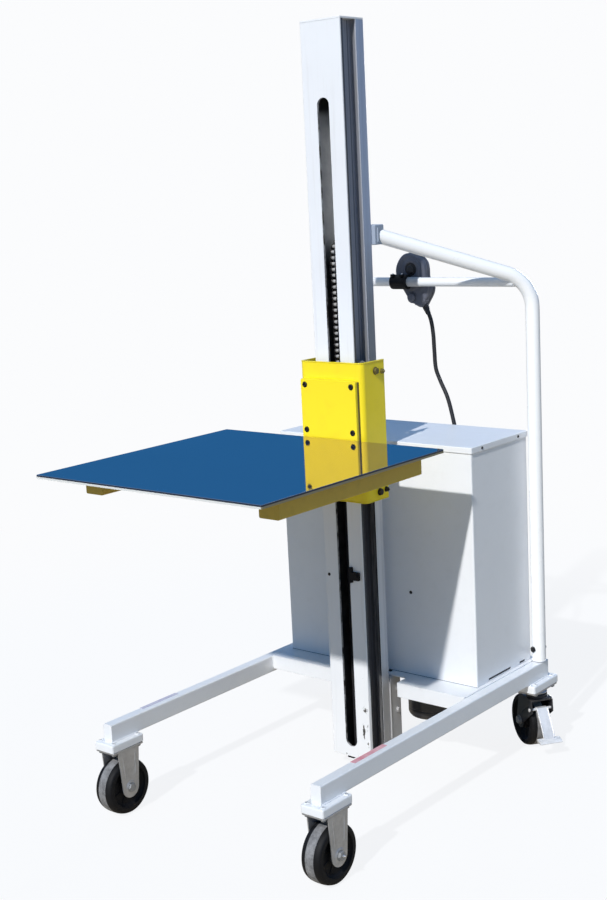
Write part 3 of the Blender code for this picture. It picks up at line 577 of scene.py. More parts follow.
# =============================================================== finishes
def paint(name, colour, grime_colour, rough, wear, bare=(0.30, 0.29, 0.28), dirt=0.5, coat=0.0,
          specular=None):
    """Sprayed or powder-coated steel: colour drift, orange peel, grime, worn edges."""
    t = Finish(name)
    drift = t.noise(scale=3.0, detail=4.0, rough=0.6)
    blotch = t.noise(scale=28.0, detail=5.0, rough=0.65)
    peel = t.noise(scale=900.0, detail=2.0, rough=0.5)
    body = t.mix(t.rise(drift, 0.35, 0.7), colour, tint(colour, 0.955))
    # grime in blotches and on streaks that run down
    grime = t.times(t.rise(blotch, 0.52, 0.80), dirt, clamp=True)
    streak = t.noise(scale=14.0, detail=4.0, rough=0.6, stretch=(6.0, 6.0, 0.35))
    grime = t.plus(grime, t.times(t.rise(streak, 0.60, 0.85), 0.35 * dirt), clamp=True)
    body = t.mix(t.times(grime, 0.5), body, grime_colour)
    # chips along the edges and scattered specks
    edge, soft = t.edges(radius=0.0011)
    ragged = t.noise(scale=75.0, detail=4.0, rough=0.7)
    chip = t.times(edge, t.rise(ragged, 0.56, 0.66), clamp=True)
    chip = t.times(chip, wear, clamp=True)
    speck = t.fall(t.cells(scale=130.0), 0.0, 0.028)
    speck = t.times(speck, t.rise(t.noise(scale=9.0, detail=2.0), 0.62, 0.70), clamp=True)
    chip = t.larger(chip, t.times(speck, wear), clamp=True)
    t.set(Base_Color=t.mix(chip, body, bare),
          Roughness=t.mix_value(chip, t.plus(rough - 0.06, t.times(blotch, 0.14)), 0.5),
          Metallic=t.times(chip, 0.6))
    if coat:
        t.set(Coat_Weight=coat, Coat_Roughness=0.08)
    if specular is not None:
        t.set(Specular_IOR_Level=specular)
    height = t.plus(t.times(peel, 0.10), t.times(t.invert(chip), 0.6))
    t.set(Normal=t.bump(height, strength=0.35, distance=0.00025, normal=soft))
    return t.material


def metal(name, colour, rough, stain, stain_amount, lines=None, spangle=0.0, bump=0.15,
          metallic=1.0):
    """Bare or plated metal; lines stretches the grain into fine tool lines."""
    t = Finish(name)
    blotch = t.noise(scale=40.0, detail=5.0, rough=0.6)
    body = t.mix(t.rise(blotch, 0.4, 0.7), colour, tint(colour, 0.82))
    if spangle:
        cell = t.cells(scale=190.0, output="Color")
        body = t.mix(t.times(cell, spangle), body, tint(colour, 1.22))
    patch = t.rise(t.noise(scale=17.0, detail=4.0, rough=0.65), 0.55, 0.8)
    stained = t.times(patch, stain_amount, clamp=True)
    body = t.mix(stained, body, stain)
    if lines:
        grain = t.noise(scale=1.0, detail=2.0, rough=0.6, stretch=lines)
    else:
        grain = t.noise(scale=420.0, detail=3.0, rough=0.6)
    edge, soft = t.edges(radius=0.0007)
    t.set(Base_Color=t.mix(t.times(edge, 0.25), body, tint(colour, 1.35)),
          Metallic=t.minus(metallic, t.times(stained, 0.5)),
          Roughness=t.plus(t.plus(rough, t.times(stained, 0.3)), t.times(grain, 0.12)),
          Normal=t.bump(grain, strength=bump, distance=0.0002, normal=soft))
    return t.material


def plastic(name, colour, rough, grain=700.0, bump=0.25, dust=(0.30, 0.29, 0.27),
            dust_amount=0.25, specular=None):
    """Moulded plastic or rubber: spark-eroded texture, pale dust, edges lightened partly as
    rubbed wear and partly as a painted highlight.
    """
    t = Finish(name)
    blotch = t.noise(scale=22.0, detail=5.0, rough=0.65)
    texture = t.noise(scale=grain, detail=2.0, rough=0.6)
    dusty = t.times(t.rise(blotch, 0.5, 0.8), dust_amount, clamp=True)
    edge, soft = t.edges(radius=0.0010)
    body = t.mix(dusty, colour, dust)
    # edges lightened: partly rubbed wear, partly a painted edge highlight
    body = t.mix(t.times(edge, 0.30), body, tint(colour, 2.2, lift=0.02))
    t.set(Base_Color=body, Roughness=t.plus(rough, t.times(blotch, 0.15)),
          Normal=t.bump(texture, strength=bump, distance=0.0002, normal=soft))
    if specular is not None:
        t.set(Specular_IOR_Level=specular)
    return t.material


def tread_finish():
    """The running band: rubbed grey by the floor, with embedded dirt."""
    t = Finish("wheel_tread")
    blotch = t.noise(scale=70.0, detail=5.0, rough=0.7)
    fine = t.noise(scale=480.0, detail=4.0, rough=0.7)
    pits = t.fall(t.cells(scale=260.0), 0.0, 0.22)
    body = t.mix(t.rise(blotch, 0.35, 0.68), (0.26, 0.26, 0.27), (0.09, 0.09, 0.095))
    body = t.mix(t.times(t.rise(fine, 0.5, 0.75), 0.6), body, (0.36, 0.35, 0.34))
    body = t.mix(t.times(pits, 0.5), body, (0.05, 0.05, 0.05))
    height = t.plus(fine, t.times(pits, -0.8))
    t.set(Base_Color=body, Roughness=0.72, Normal=t.bump(height, strength=0.5, distance=0.0004))
    return t.material


def platform_finish():
    """Deep blue mirror-gloss sheet: clear reflections on top, dust and fine scratches."""
    t = Finish("blue_paint")
    wave = t.noise(scale=5.0, detail=2.0, rough=0.5)
    dust = t.noise(scale=55.0, detail=6.0, rough=0.7)
    along_x = t.noise(scale=1.0, detail=3.0, rough=0.7, stretch=(16, 900, 900))
    along_y = t.noise(scale=1.0, detail=3.0, rough=0.7, stretch=(700, 22, 900))
    scratch = t.larger(t.rise(along_x, 0.66, 0.74), t.rise(along_y, 0.68, 0.75))
    scratched = t.rise(t.noise(scale=6.0, detail=3.0), 0.45, 0.62)
    scratch = t.times(scratch, scratched, clamp=True)
    edge, _ = t.edges(radius=0.0009)
    ragged = t.noise(scale=60.0, detail=4.0, rough=0.7)
    worn = t.times(edge, t.rise(ragged, 0.42, 0.60), clamp=True)
    body = t.mix(t.rise(wave, 0.35, 0.65), (0.008, 0.048, 0.150), (0.011, 0.058, 0.175))
    body = t.mix(t.times(t.rise(dust, 0.55, 0.85), 0.10), body, (0.20, 0.26, 0.33))
    body = t.mix(t.times(worn, 0.7), body, (0.30, 0.32, 0.34))
    # rim of the sheet: its sides darkened as painted shade; a pale lower line that is partly a
    # bare worn edge and partly a painted highlight, olive instead on faces that look along +X,
    # as painted shade
    normal = t.normal_parts()
    top = t.rise(normal["Z"], 0.55, 0.75)
    rim_highlight_band = t.times(t.invert(top), t.below(t.separate(t.coord)["Z"], 0.7850))
    body = t.mix(t.times(t.invert(top), 0.85), body, (0.006, 0.010, 0.016))
    rim_light_and_shade_tone = t.mix(t.rise(normal["X"], 0.3, 0.6), (0.66, 0.67, 0.66), (0.22, 0.20, 0.13))
    body = t.mix(rim_highlight_band, body, rim_light_and_shade_tone)
    rough = t.plus(0.030, t.times(t.rise(dust, 0.4, 0.9), 0.07))
    rough = t.plus(rough, t.times(scratch, 0.16))
    rough = t.plus(rough, t.times(t.invert(top), 0.35))
    bumped = t.bump(scratch, strength=0.05, distance=0.0001)
    t.set(Base_Color=body, Roughness=rough, Specular_IOR_Level=0.35, Normal=bumped)
    # a strong clear reflection over the pigment, as on polished sheet under a tinted lacquer
    gloss = t.node("ShaderNodeBsdfGlossy")
    for name, value in (("Color", (0.86, 0.74, 0.58)), ("Roughness", rough),
                        ("Normal", bumped)):
        t.feed(gloss.inputs[name], value)
    weight = t.node("ShaderNodeLayerWeight")
    weight.inputs["Blend"].default_value = 0.5
    factor = t.times(t.rise(weight.outputs["Facing"], 0.20, 0.80, out=(0.04, 0.71)),
                     t.invert(t.times(worn, 0.7)))
    factor = t.times(factor, t.plus(0.08, t.times(top, 0.92)))
    t.surface(t.mix_shader(factor, t.principled.outputs[0], gloss.outputs[0]))
    return t.material


def mast_finish():
    """White coat outside; side grooves dark from grease and painted shade, with rubbed roller
    lines; dark inside, with a stretch of painted light high up; chips.
    """
    t = Finish("mast_paint")
    place = t.separate(t.coord)
    x = t.math("ABSOLUTE", place["X"])
    y = t.minus(place["Y"], ORIGIN_Y)
    z = place["Z"]
    drift = t.noise(scale=2.5, detail=4.0, rough=0.6)
    blotch = t.noise(scale=30.0, detail=5.0, rough=0.65)
    peel = t.noise(scale=900.0, detail=2.0, rough=0.5)

    white = t.mix(t.rise(drift, 0.35, 0.7), (0.83, 0.845, 0.875), (0.78, 0.79, 0.82))
    streak = t.noise(scale=12.0, detail=4.0, rough=0.6, stretch=(8.0, 8.0, 0.30))
    grime = t.times(t.rise(streak, 0.55, 0.85), 0.30, clamp=True)
    white = t.mix(grime, white, (0.50, 0.48, 0.45))

    # chips on the flats beside the slot, more of them low down, most in a spot on the right
    low = t.fall(z, 0.05, 0.55)
    near_slot = t.times(t.rise(x, 0.016, 0.036, out=(1.0, 0.35)), t.below(y, -0.0415))
    chip_noise = t.noise(scale=85.0, detail=5.0, rough=0.7, stretch=(1.0, 1.0, 0.45))
    spot = t.band(x, up=(0.030, 0.036), down=(0.049, 0.053))
    spot = t.times(spot, t.band(z, up=(0.055, 0.075), down=(0.170, 0.190)))
    spot = t.times(spot, t.above(place["X"], 0.0))
    threshold = t.minus(t.minus(0.765, t.times(low, 0.080)), t.times(spot, 0.125))
    chip = t.times(t.above(chip_noise, threshold), t.above(near_slot, 0.2))
    edge, soft = t.edges(radius=0.0011)
    ragged = t.noise(scale=60.0, detail=4.0, rough=0.7)
    edge_chip = t.times(edge, t.rise(ragged, 0.56, 0.66), clamp=True)
    chip = t.larger(chip, t.times(edge_chip, 0.55), clamp=True)
    outer = t.mix(chip, white, (0.085, 0.08, 0.075))

    # side grooves: everything inward of the side faces
    groove = t.between(x, 0.0352, 0.0536)
    groove = t.times(groove, t.between(y, -0.0338, 0.0118))
    faces_front = t.below(t.normal_parts()["Y"], -0.5)
    rear_wall = t.times(t.times(faces_front, t.above(y, 0.010)), groove)
    high = t.rise(z, 0.70, 1.10, smooth=True)
    lines = t.noise(scale=1.0, detail=3.0, rough=0.6, stretch=(140, 300, 0.9))
    patchy = t.noise(scale=20.0, detail=5.0, rough=0.7, stretch=(30, 30, 0.6))
    rubbed = t.rise(patchy, 0.35, 0.60)
    # the dark groove tone is grease together with painted shade in the recess; it stays on low
    # down and behind the front flange
    groove_grease_and_shade = t.mix(t.rise(lines, 0.40, 0.70), (0.020, 0.020, 0.024), (0.075, 0.078, 0.088))
    clean = t.mix(t.rise(lines, 0.36, 0.66), (0.21, 0.235, 0.30), (0.38, 0.40, 0.47))
    # groove floor: a dark strip behind the front flange, grease with painted shade from the
    # flange, a rubbed line, a paler running face
    flange_shade_strip = t.fall(y, -0.0175, -0.0155)
    floor_tone = t.mix(t.times(high, t.invert(flange_shade_strip)), groove_grease_and_shade, clean)
    front_line = t.band(y, up=(-0.0172, -0.0158), down=(-0.0132, -0.0120))
    floor_tone = t.mix(t.times(front_line, t.times(rubbed, 0.9)), floor_tone,
                       (0.42, 0.42, 0.45))
    rear_line = t.band(y, up=(0.0030, 0.0040), down=(0.0060, 0.0070))
    floor_tone = t.mix(t.times(rear_line, 0.65), floor_tone, (0.035, 0.038, 0.050))
    track = t.band(x, up=(0.0385, 0.0400), down=(0.0500, 0.0520))
    wall_tone = t.mix(t.times(track, rubbed), t.mix(high, groove_grease_and_shade, clean), (0.36, 0.36, 0.37))
    groove_tone = t.mix(rear_wall, floor_tone, wall_tone)

    # sides of the rear flange: pale low down, partly their finish and partly painted sunlight,
    # dark midway, bare blue-grey at the top
    side_face = t.times(t.above(x, 0.0533), t.above(y, 0.0117))
    side_lines = t.noise(scale=1.0, detail=4.0, rough=0.6, stretch=(60, 260, 0.8))
    top_tone, sunlit_low_tone, middle_tone = (
        t.mix(t.rise(side_lines, 0.35, 0.70), dark, pale) for dark, pale in (
            ((0.27, 0.33, 0.47), (0.43, 0.50, 0.64)),
            ((0.56, 0.57, 0.60), (0.76, 0.77, 0.79)),
            ((0.115, 0.140, 0.180), (0.20, 0.225, 0.27))))
    side_tone = t.mix(t.rise(z, 0.62, 0.82, smooth=True), sunlit_low_tone, middle_tone)
    side_tone = t.mix(t.rise(z, 1.02, 1.30, smooth=True), side_tone, top_tone)
    side_tone = t.mix(t.fall(z, 0.19, 0.24), side_tone, (0.36, 0.36, 0.37))
    outer = t.mix(side_face, outer, side_tone)
    # the thin outer face of the front flange is greasy behind its rolled edge
    flange_side = t.times(t.above(x, 0.0533), t.rise(y, -0.0402, -0.0394))
    flange_side = t.times(flange_side, t.below(y, -0.0330))
    outer = t.mix(t.times(flange_side, t.rise(z, 0.20, 0.26)), outer, (0.060, 0.062, 0.070))

    # inside of the section, seen through the slot, dark, with a pale stretch high up that is
    # painted light falling in through the slot
    inside = t.times(t.below(x, 0.0316), t.between(y, -0.0373, 0.0345))
    inside_tone = t.mix(t.rise(blotch, 0.4, 0.7), (0.030, 0.029, 0.031), (0.070, 0.068, 0.068))
    painted_light_inside_tone = t.mix(t.rise(blotch, 0.4, 0.7), (0.60, 0.60, 0.61), (0.74, 0.74, 0.73))
    lit_stretch_inside = t.band(z, up=(1.16, 1.24), down=(1.478, 1.500), smooth=True)
    inside_tone = t.mix(lit_stretch_inside, inside_tone, painted_light_inside_tone)
    slot_lip = t.times(t.below(x, 0.0165), t.below(y, -0.0369))
    slot_lip = t.times(slot_lip, t.above(y, -0.0426))

    colour = t.mix(groove, outer, groove_tone)
    colour = t.mix(inside, colour, inside_tone)
    lip_wear = t.rise(t.noise(scale=40.0, detail=4.0), 0.40, 0.60, out=(0.35, 1.0))
    colour = t.mix(t.times(slot_lip, lip_wear), colour, (0.075, 0.07, 0.068))
    t.set(Base_Color=colour,
          Metallic=t.larger(t.times(t.times(rear_wall, track), 0.6), t.times(chip, 0.4),
                            clamp=True),
          Roughness=t.mix_value(t.larger(groove, inside), t.plus(0.30, t.times(blotch, 0.14)),
                                t.plus(0.36, t.times(blotch, 0.20))))
    height = t.plus(t.times(peel, 0.10), t.times(t.invert(chip), 0.5))
    t.set(Normal=t.bump(height, strength=0.35, distance=0.00025, normal=soft))
    return t.material


def strip_finish(name, colour):
    """Faded plain self-adhesive strip."""
    t = Finish(name)
    fade = t.noise(scale=14.0, detail=5.0, rough=0.7)
    body = t.mix(t.rise(fade, 0.35, 0.70), colour, tint(colour, 0.55, lift=0.40))
    scuff = t.rise(t.noise(scale=90.0, detail=5.0, rough=0.75), 0.60, 0.72)
    body = t.mix(t.times(scuff, 0.55), body, (0.70, 0.68, 0.68))
    t.set(Base_Color=body, Roughness=0.55, Normal=t.bump(scuff, strength=0.3, distance=0.0002))
    return t.material


WHITE = paint("white_paint", (0.83, 0.845, 0.875), (0.52, 0.51, 0.49), rough=0.36, wear=0.5,
              dirt=0.22)
YELLOW = paint("yellow_paint", (0.93, 0.745, 0.022), (0.50, 0.36, 0.03), rough=0.30, wear=0.55,
               bare=(0.20, 0.19, 0.18), dirt=0.25, coat=0.06, specular=0.32)
# darker, browner copy of the yellow for the arms and cross beam under the platform: painted
# shade, with more grime
SHADED_FRAME_YELLOW = paint("shaded_yellow_frame_paint", (0.62, 0.435, 0.050), (0.26, 0.18, 0.035),
                     rough=0.40, wear=0.6, bare=(0.16, 0.15, 0.14))
BLACK_PAINT = paint("black_paint", (0.022, 0.022, 0.026), (0.12, 0.11, 0.10), rough=0.34,
                    wear=0.6, bare=(0.35, 0.34, 0.33))
ZINC = metal("zinc_plate", (0.66, 0.67, 0.69), rough=0.30, stain=(0.35, 0.33, 0.30),
             stain_amount=0.30, spangle=0.35)
STEEL = metal("machined_steel", (0.42, 0.42, 0.43), rough=0.30, stain=(0.10, 0.08, 0.06),
              stain_amount=0.35, lines=(60, 60, 2600))
CHROME = metal("hard_chrome", (0.75, 0.76, 0.78), rough=0.08, stain=(0.25, 0.22, 0.18),
               stain_amount=0.12, lines=(900, 900, 12), bump=0.05)
CHAIN_STEEL = metal("chain_steel", (0.075, 0.070, 0.068), rough=0.40,
                    stain=(0.020, 0.017, 0.014), stain_amount=0.75)
DARK_BOLT = metal("black_oxide", (0.050, 0.047, 0.045), rough=0.36, stain=(0.12, 0.07, 0.04),
                  stain_amount=0.35, metallic=0.85)
BLACK_PLASTIC = plastic("black_plastic", (0.018, 0.018, 0.020), rough=0.40)
GREY_PLASTIC = plastic("grey_plastic", (0.105, 0.112, 0.145), rough=0.46,
                       dust=(0.36, 0.35, 0.36), dust_amount=0.35)
RUBBER = plastic("hose_rubber", (0.014, 0.014, 0.016), rough=0.50, grain=1200.0,
                 dust_amount=0.20)
BATTERY = plastic("battery_plastic", (0.022, 0.022, 0.024), rough=0.38, grain=500.0)
PALE_TAPE = plastic("pale_tape", (0.46, 0.46, 0.48), rough=0.55, dust=(0.30, 0.29, 0.28),
                    dust_amount=0.5)
# brighter, glossier copy of the white paint for the handle rails: a painted highlight
LIT_HANDLE_WHITE = paint("lit_handle_white", (0.96, 0.965, 0.975), (0.66, 0.65, 0.63), rough=0.28,
                     wear=0.4, dirt=0.10, coat=0.35)
NUT_ZINC = metal("dull_zinc", (0.36, 0.37, 0.38), rough=0.52, stain=(0.16, 0.15, 0.14),
                 stain_amount=0.55, metallic=0.75)
PEDAL_ZINC = metal("pedal_zinc", (0.80, 0.80, 0.81), rough=0.45, stain=(0.45, 0.44, 0.42),
                   stain_amount=0.3, spangle=0.25, metallic=0.45)
FORK_ZINC = metal("fork_zinc", (0.50, 0.51, 0.53), rough=0.40, stain=(0.24, 0.23, 0.22),
                  stain_amount=0.40, spangle=0.35, metallic=0.85)
OLIVE_BOLT = metal("olive_bolt", (0.17, 0.14, 0.045), rough=0.46, stain=(0.07, 0.06, 0.03),
                   stain_amount=0.5, metallic=0.35)
WHEEL_FACE = plastic("wheel_face", (0.0045, 0.0045, 0.0055), rough=0.55, grain=500.0,
                     bump=0.12, dust=(0.05, 0.05, 0.05), dust_amount=0.15, specular=0.22)
RUBBED_STEEL = metal("rubbed_roller", (0.50, 0.49, 0.475), rough=0.42,
                     stain=(0.20, 0.18, 0.15), stain_amount=0.30, metallic=0.45)
# grey copy of the white paint for the mast's foot bracket, its bolts and welds: painted shade
SHADED_BRACKET_PAINT = paint("shaded_bracket_paint", (0.44, 0.44, 0.45), (0.24, 0.235, 0.23), rough=0.44,
                      wear=0.5)
# blue-grey paint for the handle blocks at the mast, standing in for the shade there: painted
# shade
SHADED_BLOCK_PAINT = paint("shaded_block_paint", (0.36, 0.42, 0.52), (0.20, 0.22, 0.26), rough=0.42,
                    wear=0.5, dirt=0.4)
# plain wheel_rubber finish, made but worn by no piece; the tyres wear WHEEL_FACE and TREAD
# instead
plastic("wheel_rubber", (0.016, 0.016, 0.018), rough=0.42, grain=900.0,
        dust=(0.22, 0.21, 0.20), dust_amount=0.45)
TREAD = tread_finish()
PLATFORM_BLUE = platform_finish()
MAST_PAINT = mast_finish()
RED_STRIP = strip_finish("red_strip", (0.66, 0.22, 0.27))
FADED_STRIP = strip_finish("faded_strip", (0.46, 0.44, 0.58))


# =============================================================== kept CAD nodes
def dress(node, material):
    """Give a kept CAD node its finish."""
    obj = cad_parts[node]
    obj.data.materials.clear()
    obj.data.materials.append(material)
    for polygon in obj.data.polygons:
        polygon.material_index = 0
    obj.modifiers.new("weld", "WELD").merge_threshold = 0.00001
    obj.data.shade_smooth()
    obj.modifiers.new("edge", "EDGE_SPLIT").split_angle = math.radians(32)
    obj.modifiers.new("flat faces", "WEIGHTED_NORMAL").weight = 100


for node, material in {
        "deck_tray": WHITE, "rear_cross_tube": WHITE, "mast_foot_bracket": WHITE,
        "mast_section": MAST_PAINT, "mast_top_cap": WHITE, "crosshead": STEEL,
        "chain_wheel_pin": ZINC, "chain_anchor": STEEL, "ram_cylinder": BLACK_PAINT,
        "ram_rod": CHROME, "platform_arm_left": SHADED_FRAME_YELLOW,
        "platform_arm_right": SHADED_FRAME_YELLOW, "platform_cross_beam": SHADED_FRAME_YELLOW}.items():
    dress(node, material)

# =============================================================== platform
PLATFORM_TOP = 0.7886
ARM_X = (0.2153, 0.2587)         # inside of an arm, from the middle
ARM_Z = (0.7383, 0.7820)

piece = Piece("platform_sheet", PLATFORM_BLUE, "blue_paint", "carriage", ["platform"])
outside = block((-0.304, 0.304), (-0.656, -0.076), (0.7808, PLATFORM_TOP), 0.004, 4, "z")
hollow = block((-0.301, 0.301), (-0.653, -0.05), (0.760, 0.7856), 0.0015, 2, "z")
top = cut(outside, [hollow])
upper = set(edges_where(top, lambda co: co.z > PLATFORM_TOP - 0.0002))
soften(top, [e for e in sharp_edges(top, 50) if e in upper], 0.0012, 3)
piece.add(top)
piece.finish()

# screw heads under the arms
piece = Piece("platform_arm_screws", DARK_BOLT, "machined_steel", "carriage")
for side in BOTH:
    for y in (-0.50, -0.35, -0.20):
        piece.add(dome_head(0.0055, 0.0030), aim(DOWN, (side * 0.237, y, 0.7350)))
piece.finish()

# end plugs of the arms, with their gripping ribs
piece = Piece("arm_end_plugs", BLACK_PLASTIC, "black_plastic", "carriage")
for side in BOTH:
    x = side_span(side, *ARM_X)
    piece.add(block(x, (-0.1040, -0.1004), ARM_Z, 0.0012))
    for k in (0.25, 0.5, 0.75):
        piece.add(block(x, (-0.1120 + 0.006 * k, -0.1108 + 0.006 * k), ARM_Z, 0.0004, 1))
piece.finish()

piece = Piece("platform_frame_welds", SHADED_FRAME_YELLOW, "yellow_paint", "carriage")
for side in BOTH:
    # start, end (both with X from the middle), radius, seed
    for (x0, *start), (x1, *end), radius, seed in (
            # arm to beam
            ((0.2119, -0.1228, 0.7375), (0.2119, -0.1228, 0.7830), 0.0022, 3),
            ((0.2119, -0.1205, 0.7349), (0.2119, -0.1010, 0.7349), 0.0020, 4),
            # bracket to beam
            ((0.020, -0.0727, 0.7352), (0.074, -0.0727, 0.7352), 0.0021, 5),
            ((0.0515, -0.1130, 0.7343), (0.0515, -0.0745, 0.7343), 0.0013, 6),
            ((0.0585, -0.1130, 0.7343), (0.0585, -0.0745, 0.7343), 0.0013, 6)):
        piece.add(weld((side * x0, *start), (side * x1, *end), radius, seed))
piece.finish()

# =============================================================== carriage
HOUSING_X, HOUSING_T = 0.086, 0.005             # half width and sheet thickness
HOUSING_FRONT, HOUSING_REAR = -0.060, 0.022
HOUSING_Z = (0.645, 0.956)
ROLLER_R, ROLLER_Y = 0.0212, -0.011
ROLLER_LEVELS = (("lower", 0.664), ("upper", 0.934))

# folded shell, open at the rear, with a lug for the chain inside its front
piece = Piece("carriage_shell", YELLOW, "yellow_paint", "carriage", ["carriage_housing"])
past_ends = (HOUSING_Z[0] - 0.01, HOUSING_Z[1] + 0.01)
shell = block((-HOUSING_X, HOUSING_X), (HOUSING_FRONT, HOUSING_REAR + 0.02), HOUSING_Z,
              0.0125, 10, "z")
cutters = [block((-HOUSING_X + HOUSING_T, HOUSING_X - HOUSING_T),
                 (HOUSING_FRONT + HOUSING_T, HOUSING_REAR + 0.04), past_ends, 0.0075, 8, "z"),
           block((-0.1, 0.1), (HOUSING_REAR, HOUSING_REAR + 0.05), past_ends)]
cutters += [drill(0.0054, 0.03, aim(ACROSS, (side * 0.084 - 0.015, ROLLER_Y, z)), 20)
            for side in BOTH for _, z in ROLLER_LEVELS]
lug = block((-0.0110, 0.0110), (HOUSING_FRONT + 0.002, -0.0215), (0.780, 0.820))
piece.add(cut(shell, cutters, joins=[lug]))
piece.finish()

# rolled lips along the housing's top and bottom rims
piece = Piece("carriage_rim_lips", YELLOW, "yellow_paint", "carriage")
bend, half_width, front = 0.0130, HOUSING_X + 0.0002, HOUSING_FRONT - 0.0002
outline = ([(-half_width, HOUSING_REAR - 0.001)]
           + arc((-half_width + bend, front + bend), bend, 180, 270, 10)
           + arc((half_width - bend, front + bend), bend, 270, 360, 10)
           + [(half_width, HOUSING_REAR - 0.001)])
for z in (HOUSING_Z[0] + 0.0012, HOUSING_Z[1] - 0.0012):
    piece.add(tube([(x, y, z) for x, y in outline], 0.0011, 8))
piece.finish()

# bracket plate with sunk screws and two gussets
BRACKET_FRONT = -0.0720
BRACKET_SCREWS = [(side * 0.064, z) for side in BOTH for z in (0.905, 0.804)]
piece = Piece("bracket_plate", YELLOW, "yellow_paint", "carriage", ["platform_bracket_plate"])
plate = block((-0.076, 0.076), (BRACKET_FRONT, HOUSING_FRONT - 0.0003), (0.690, 0.918),
              0.004, 5, "y")
soften(plate, edges_where(plate, lambda co: co.y < BRACKET_FRONT + 0.0001), 0.0010)
piece.add(cut(plate, [drill(0.0068, 0.01, aim(FORWARD, (x, -0.0698, z)))
                      for x, z in BRACKET_SCREWS]))
gusset = [(-0.0715, 0.7015), (-0.1200, 0.7340), (-0.1200, 0.7342), (-0.0715, 0.7342)]
for side in BOTH:
    piece.add(sheet(gusset, 0.006, 0.0006), stand_yz(side * 0.055))
piece.finish()

piece = Piece("bracket_screws", DARK_BOLT, "machined_steel", "carriage")
socket_head = [(0, 0), (0.0060, 0), (0.0060, 0.0034), (0.0052, 0.0042), (0.0031, 0.0043),
               (0.0029, 0.0040), (0.0029, 0.0016), (0, 0.0013)]
for x, z in BRACKET_SCREWS:
    piece.add(turned(socket_head, 24), aim(FORWARD, (x, -0.0699, z)))
piece.finish()

# track rollers (raised races, sunk seals) and their bolts
ROLLER_PROFILE = mirrored([
    (0.0053, -0.0060), (0.0078, -0.0060), (0.0082, -0.0050), (0.0150, -0.0048),
    (0.0155, -0.0058), (ROLLER_R - 0.0012, -0.0060), (ROLLER_R - 0.0003, -0.0055),
    (ROLLER_R, -0.0046)])
for side_name, side in SIDES:
    for level, z in ROLLER_LEVELS:
        end = f"{side_name}_{level}"
        piece = Piece(f"track_roller_{end}", STEEL, "machined_steel", f"roller_{end}",
                      [f"roller_{end}"])
        piece.add(turned(ROLLER_PROFILE, 64, closed=True),
                  aim(ACROSS, (side * 0.0450, ROLLER_Y, z)))
        piece.finish()
        bolt, nut_r = (DARK_BOLT, 0.0076) if level == "lower" else (OLIVE_BOLT, 0.0072)
        piece = Piece(f"roller_bolt_{end}", bolt, "zinc_plate", "carriage",
                      [f"roller_axle_{end}"])
        for solid, x, roll in (
                (cylinder(0.0050, 0.0500, 24), 0.0373, 0.0),
                (cylinder(0.0080, 0.0014, 28), 0.0373, 0.0),
                (cylinder(0.0080, 0.0294, 28), 0.0513, 0.0),
                (ring(0.0086, 0.0048, 0.0010, 28), HOUSING_X + 0.0003, 0.0),
                (hexagon(nut_r, 0.0052), HOUSING_X + 0.0012, 0.4)):
            piece.add(solid, aim((side, 0, 0), (side * x, ROLLER_Y, z), roll))
        piece.finish()

# smaller bolts behind each roller bolt: z, scale, material
piece = Piece("guide_block_bolts", [DARK_BOLT, OLIVE_BOLT], "machined_steel", "carriage")
for side in BOTH:
    for z, scale, material in ((0.6655, 0.86, 0), (0.9305, 0.78, 1)):
        for solid, x, roll in (
                (ring(0.0074 * scale, 0.0036, 0.0010, 28), HOUSING_X + 0.0001, 0.0),
                (hexagon(0.0066 * scale, 0.0060 * scale), HOUSING_X + 0.0009, 0.2),
                (cylinder(0.0032 * scale, 0.0092 * scale, 18, 0.0005), HOUSING_X + 0.0009, 0.0)):
            piece.add(solid, aim((side, 0, 0), (side * x, 0.0125, z), roll), material)
piece.finish()

# dark strip in the step beside the bracket plate: a painted shadow gap
piece = Piece("bracket_edge_shadow_strip", OLIVE_BOLT, "black_plastic", "carriage")
for side in BOTH:
    piece.add(block(side_span(side, 0.0759, 0.0774), (-0.0656, -0.0601), (0.6940, 0.9150),
                    0.0004, 1))
piece.finish()

# =============================================================== chain drive
DRIVE_Y, WHEEL_Z = -0.0015, 1.190       # chain wheel axis
PITCH, TEETH, CHAIN_R = 0.0127, 13, 0.026535
PLATE_R, WAIST, PLATE_T = 0.0052, 0.0040, 0.0012
PIN_R, LINK_ROLLER_R = 0.0018, 0.0038
FRONT_Y, REAR_Y = DRIVE_Y - CHAIN_R, DRIVE_Y + CHAIN_R
WHEEL_CENTRE = (0, DRIVE_Y, WHEEL_Z)


def link_plate():
    """Figure-eight plate along local X, centred, thickness on local Z."""
    half, waist_angle = PITCH / 2, 52.0
    points = arc((half, 0), PLATE_R, -180 + waist_angle, 180 - waist_angle, 14)
    points += [(0.0, WAIST)]
    points += arc((-half, 0), PLATE_R, waist_angle, 360 - waist_angle, 14)
    points += [(0.0, -WAIST)]
    return sheet(points, PLATE_T, 0.00022)


def add_link(piece, centre, along, outer):
    """One link in the plane x = 0: two plates; outer links also carry pins and rollers."""
    z = Vector(ACROSS)
    x = Vector(along).normalized()
    place = at(*centre) @ Matrix((x, z.cross(x), z)).transposed().to_4x4()
    offset = 0.0064 if outer else 0.0050
    for end in BOTH:
        piece.add(link_plate(), place @ at(0, 0, end * offset))
    if outer:
        for end in BOTH:
            joint = end * PITCH / 2
            piece.add(cylinder(PIN_R, 0.0152, 14, 0.0003), place @ at(joint, 0, -0.0076), 1)
            piece.add(cylinder(LINK_ROLLER_R, 0.0086, 20, 0.0002),
                      place @ at(joint, 0, -0.0043), 1)


def add_links(piece, joints, first_outer):
    for k, (a, b) in enumerate(zip(joints, joints[1:])):
        add_link(piece, (a + b) / 2, b - a, outer=(k % 2 == 0) == first_outer)


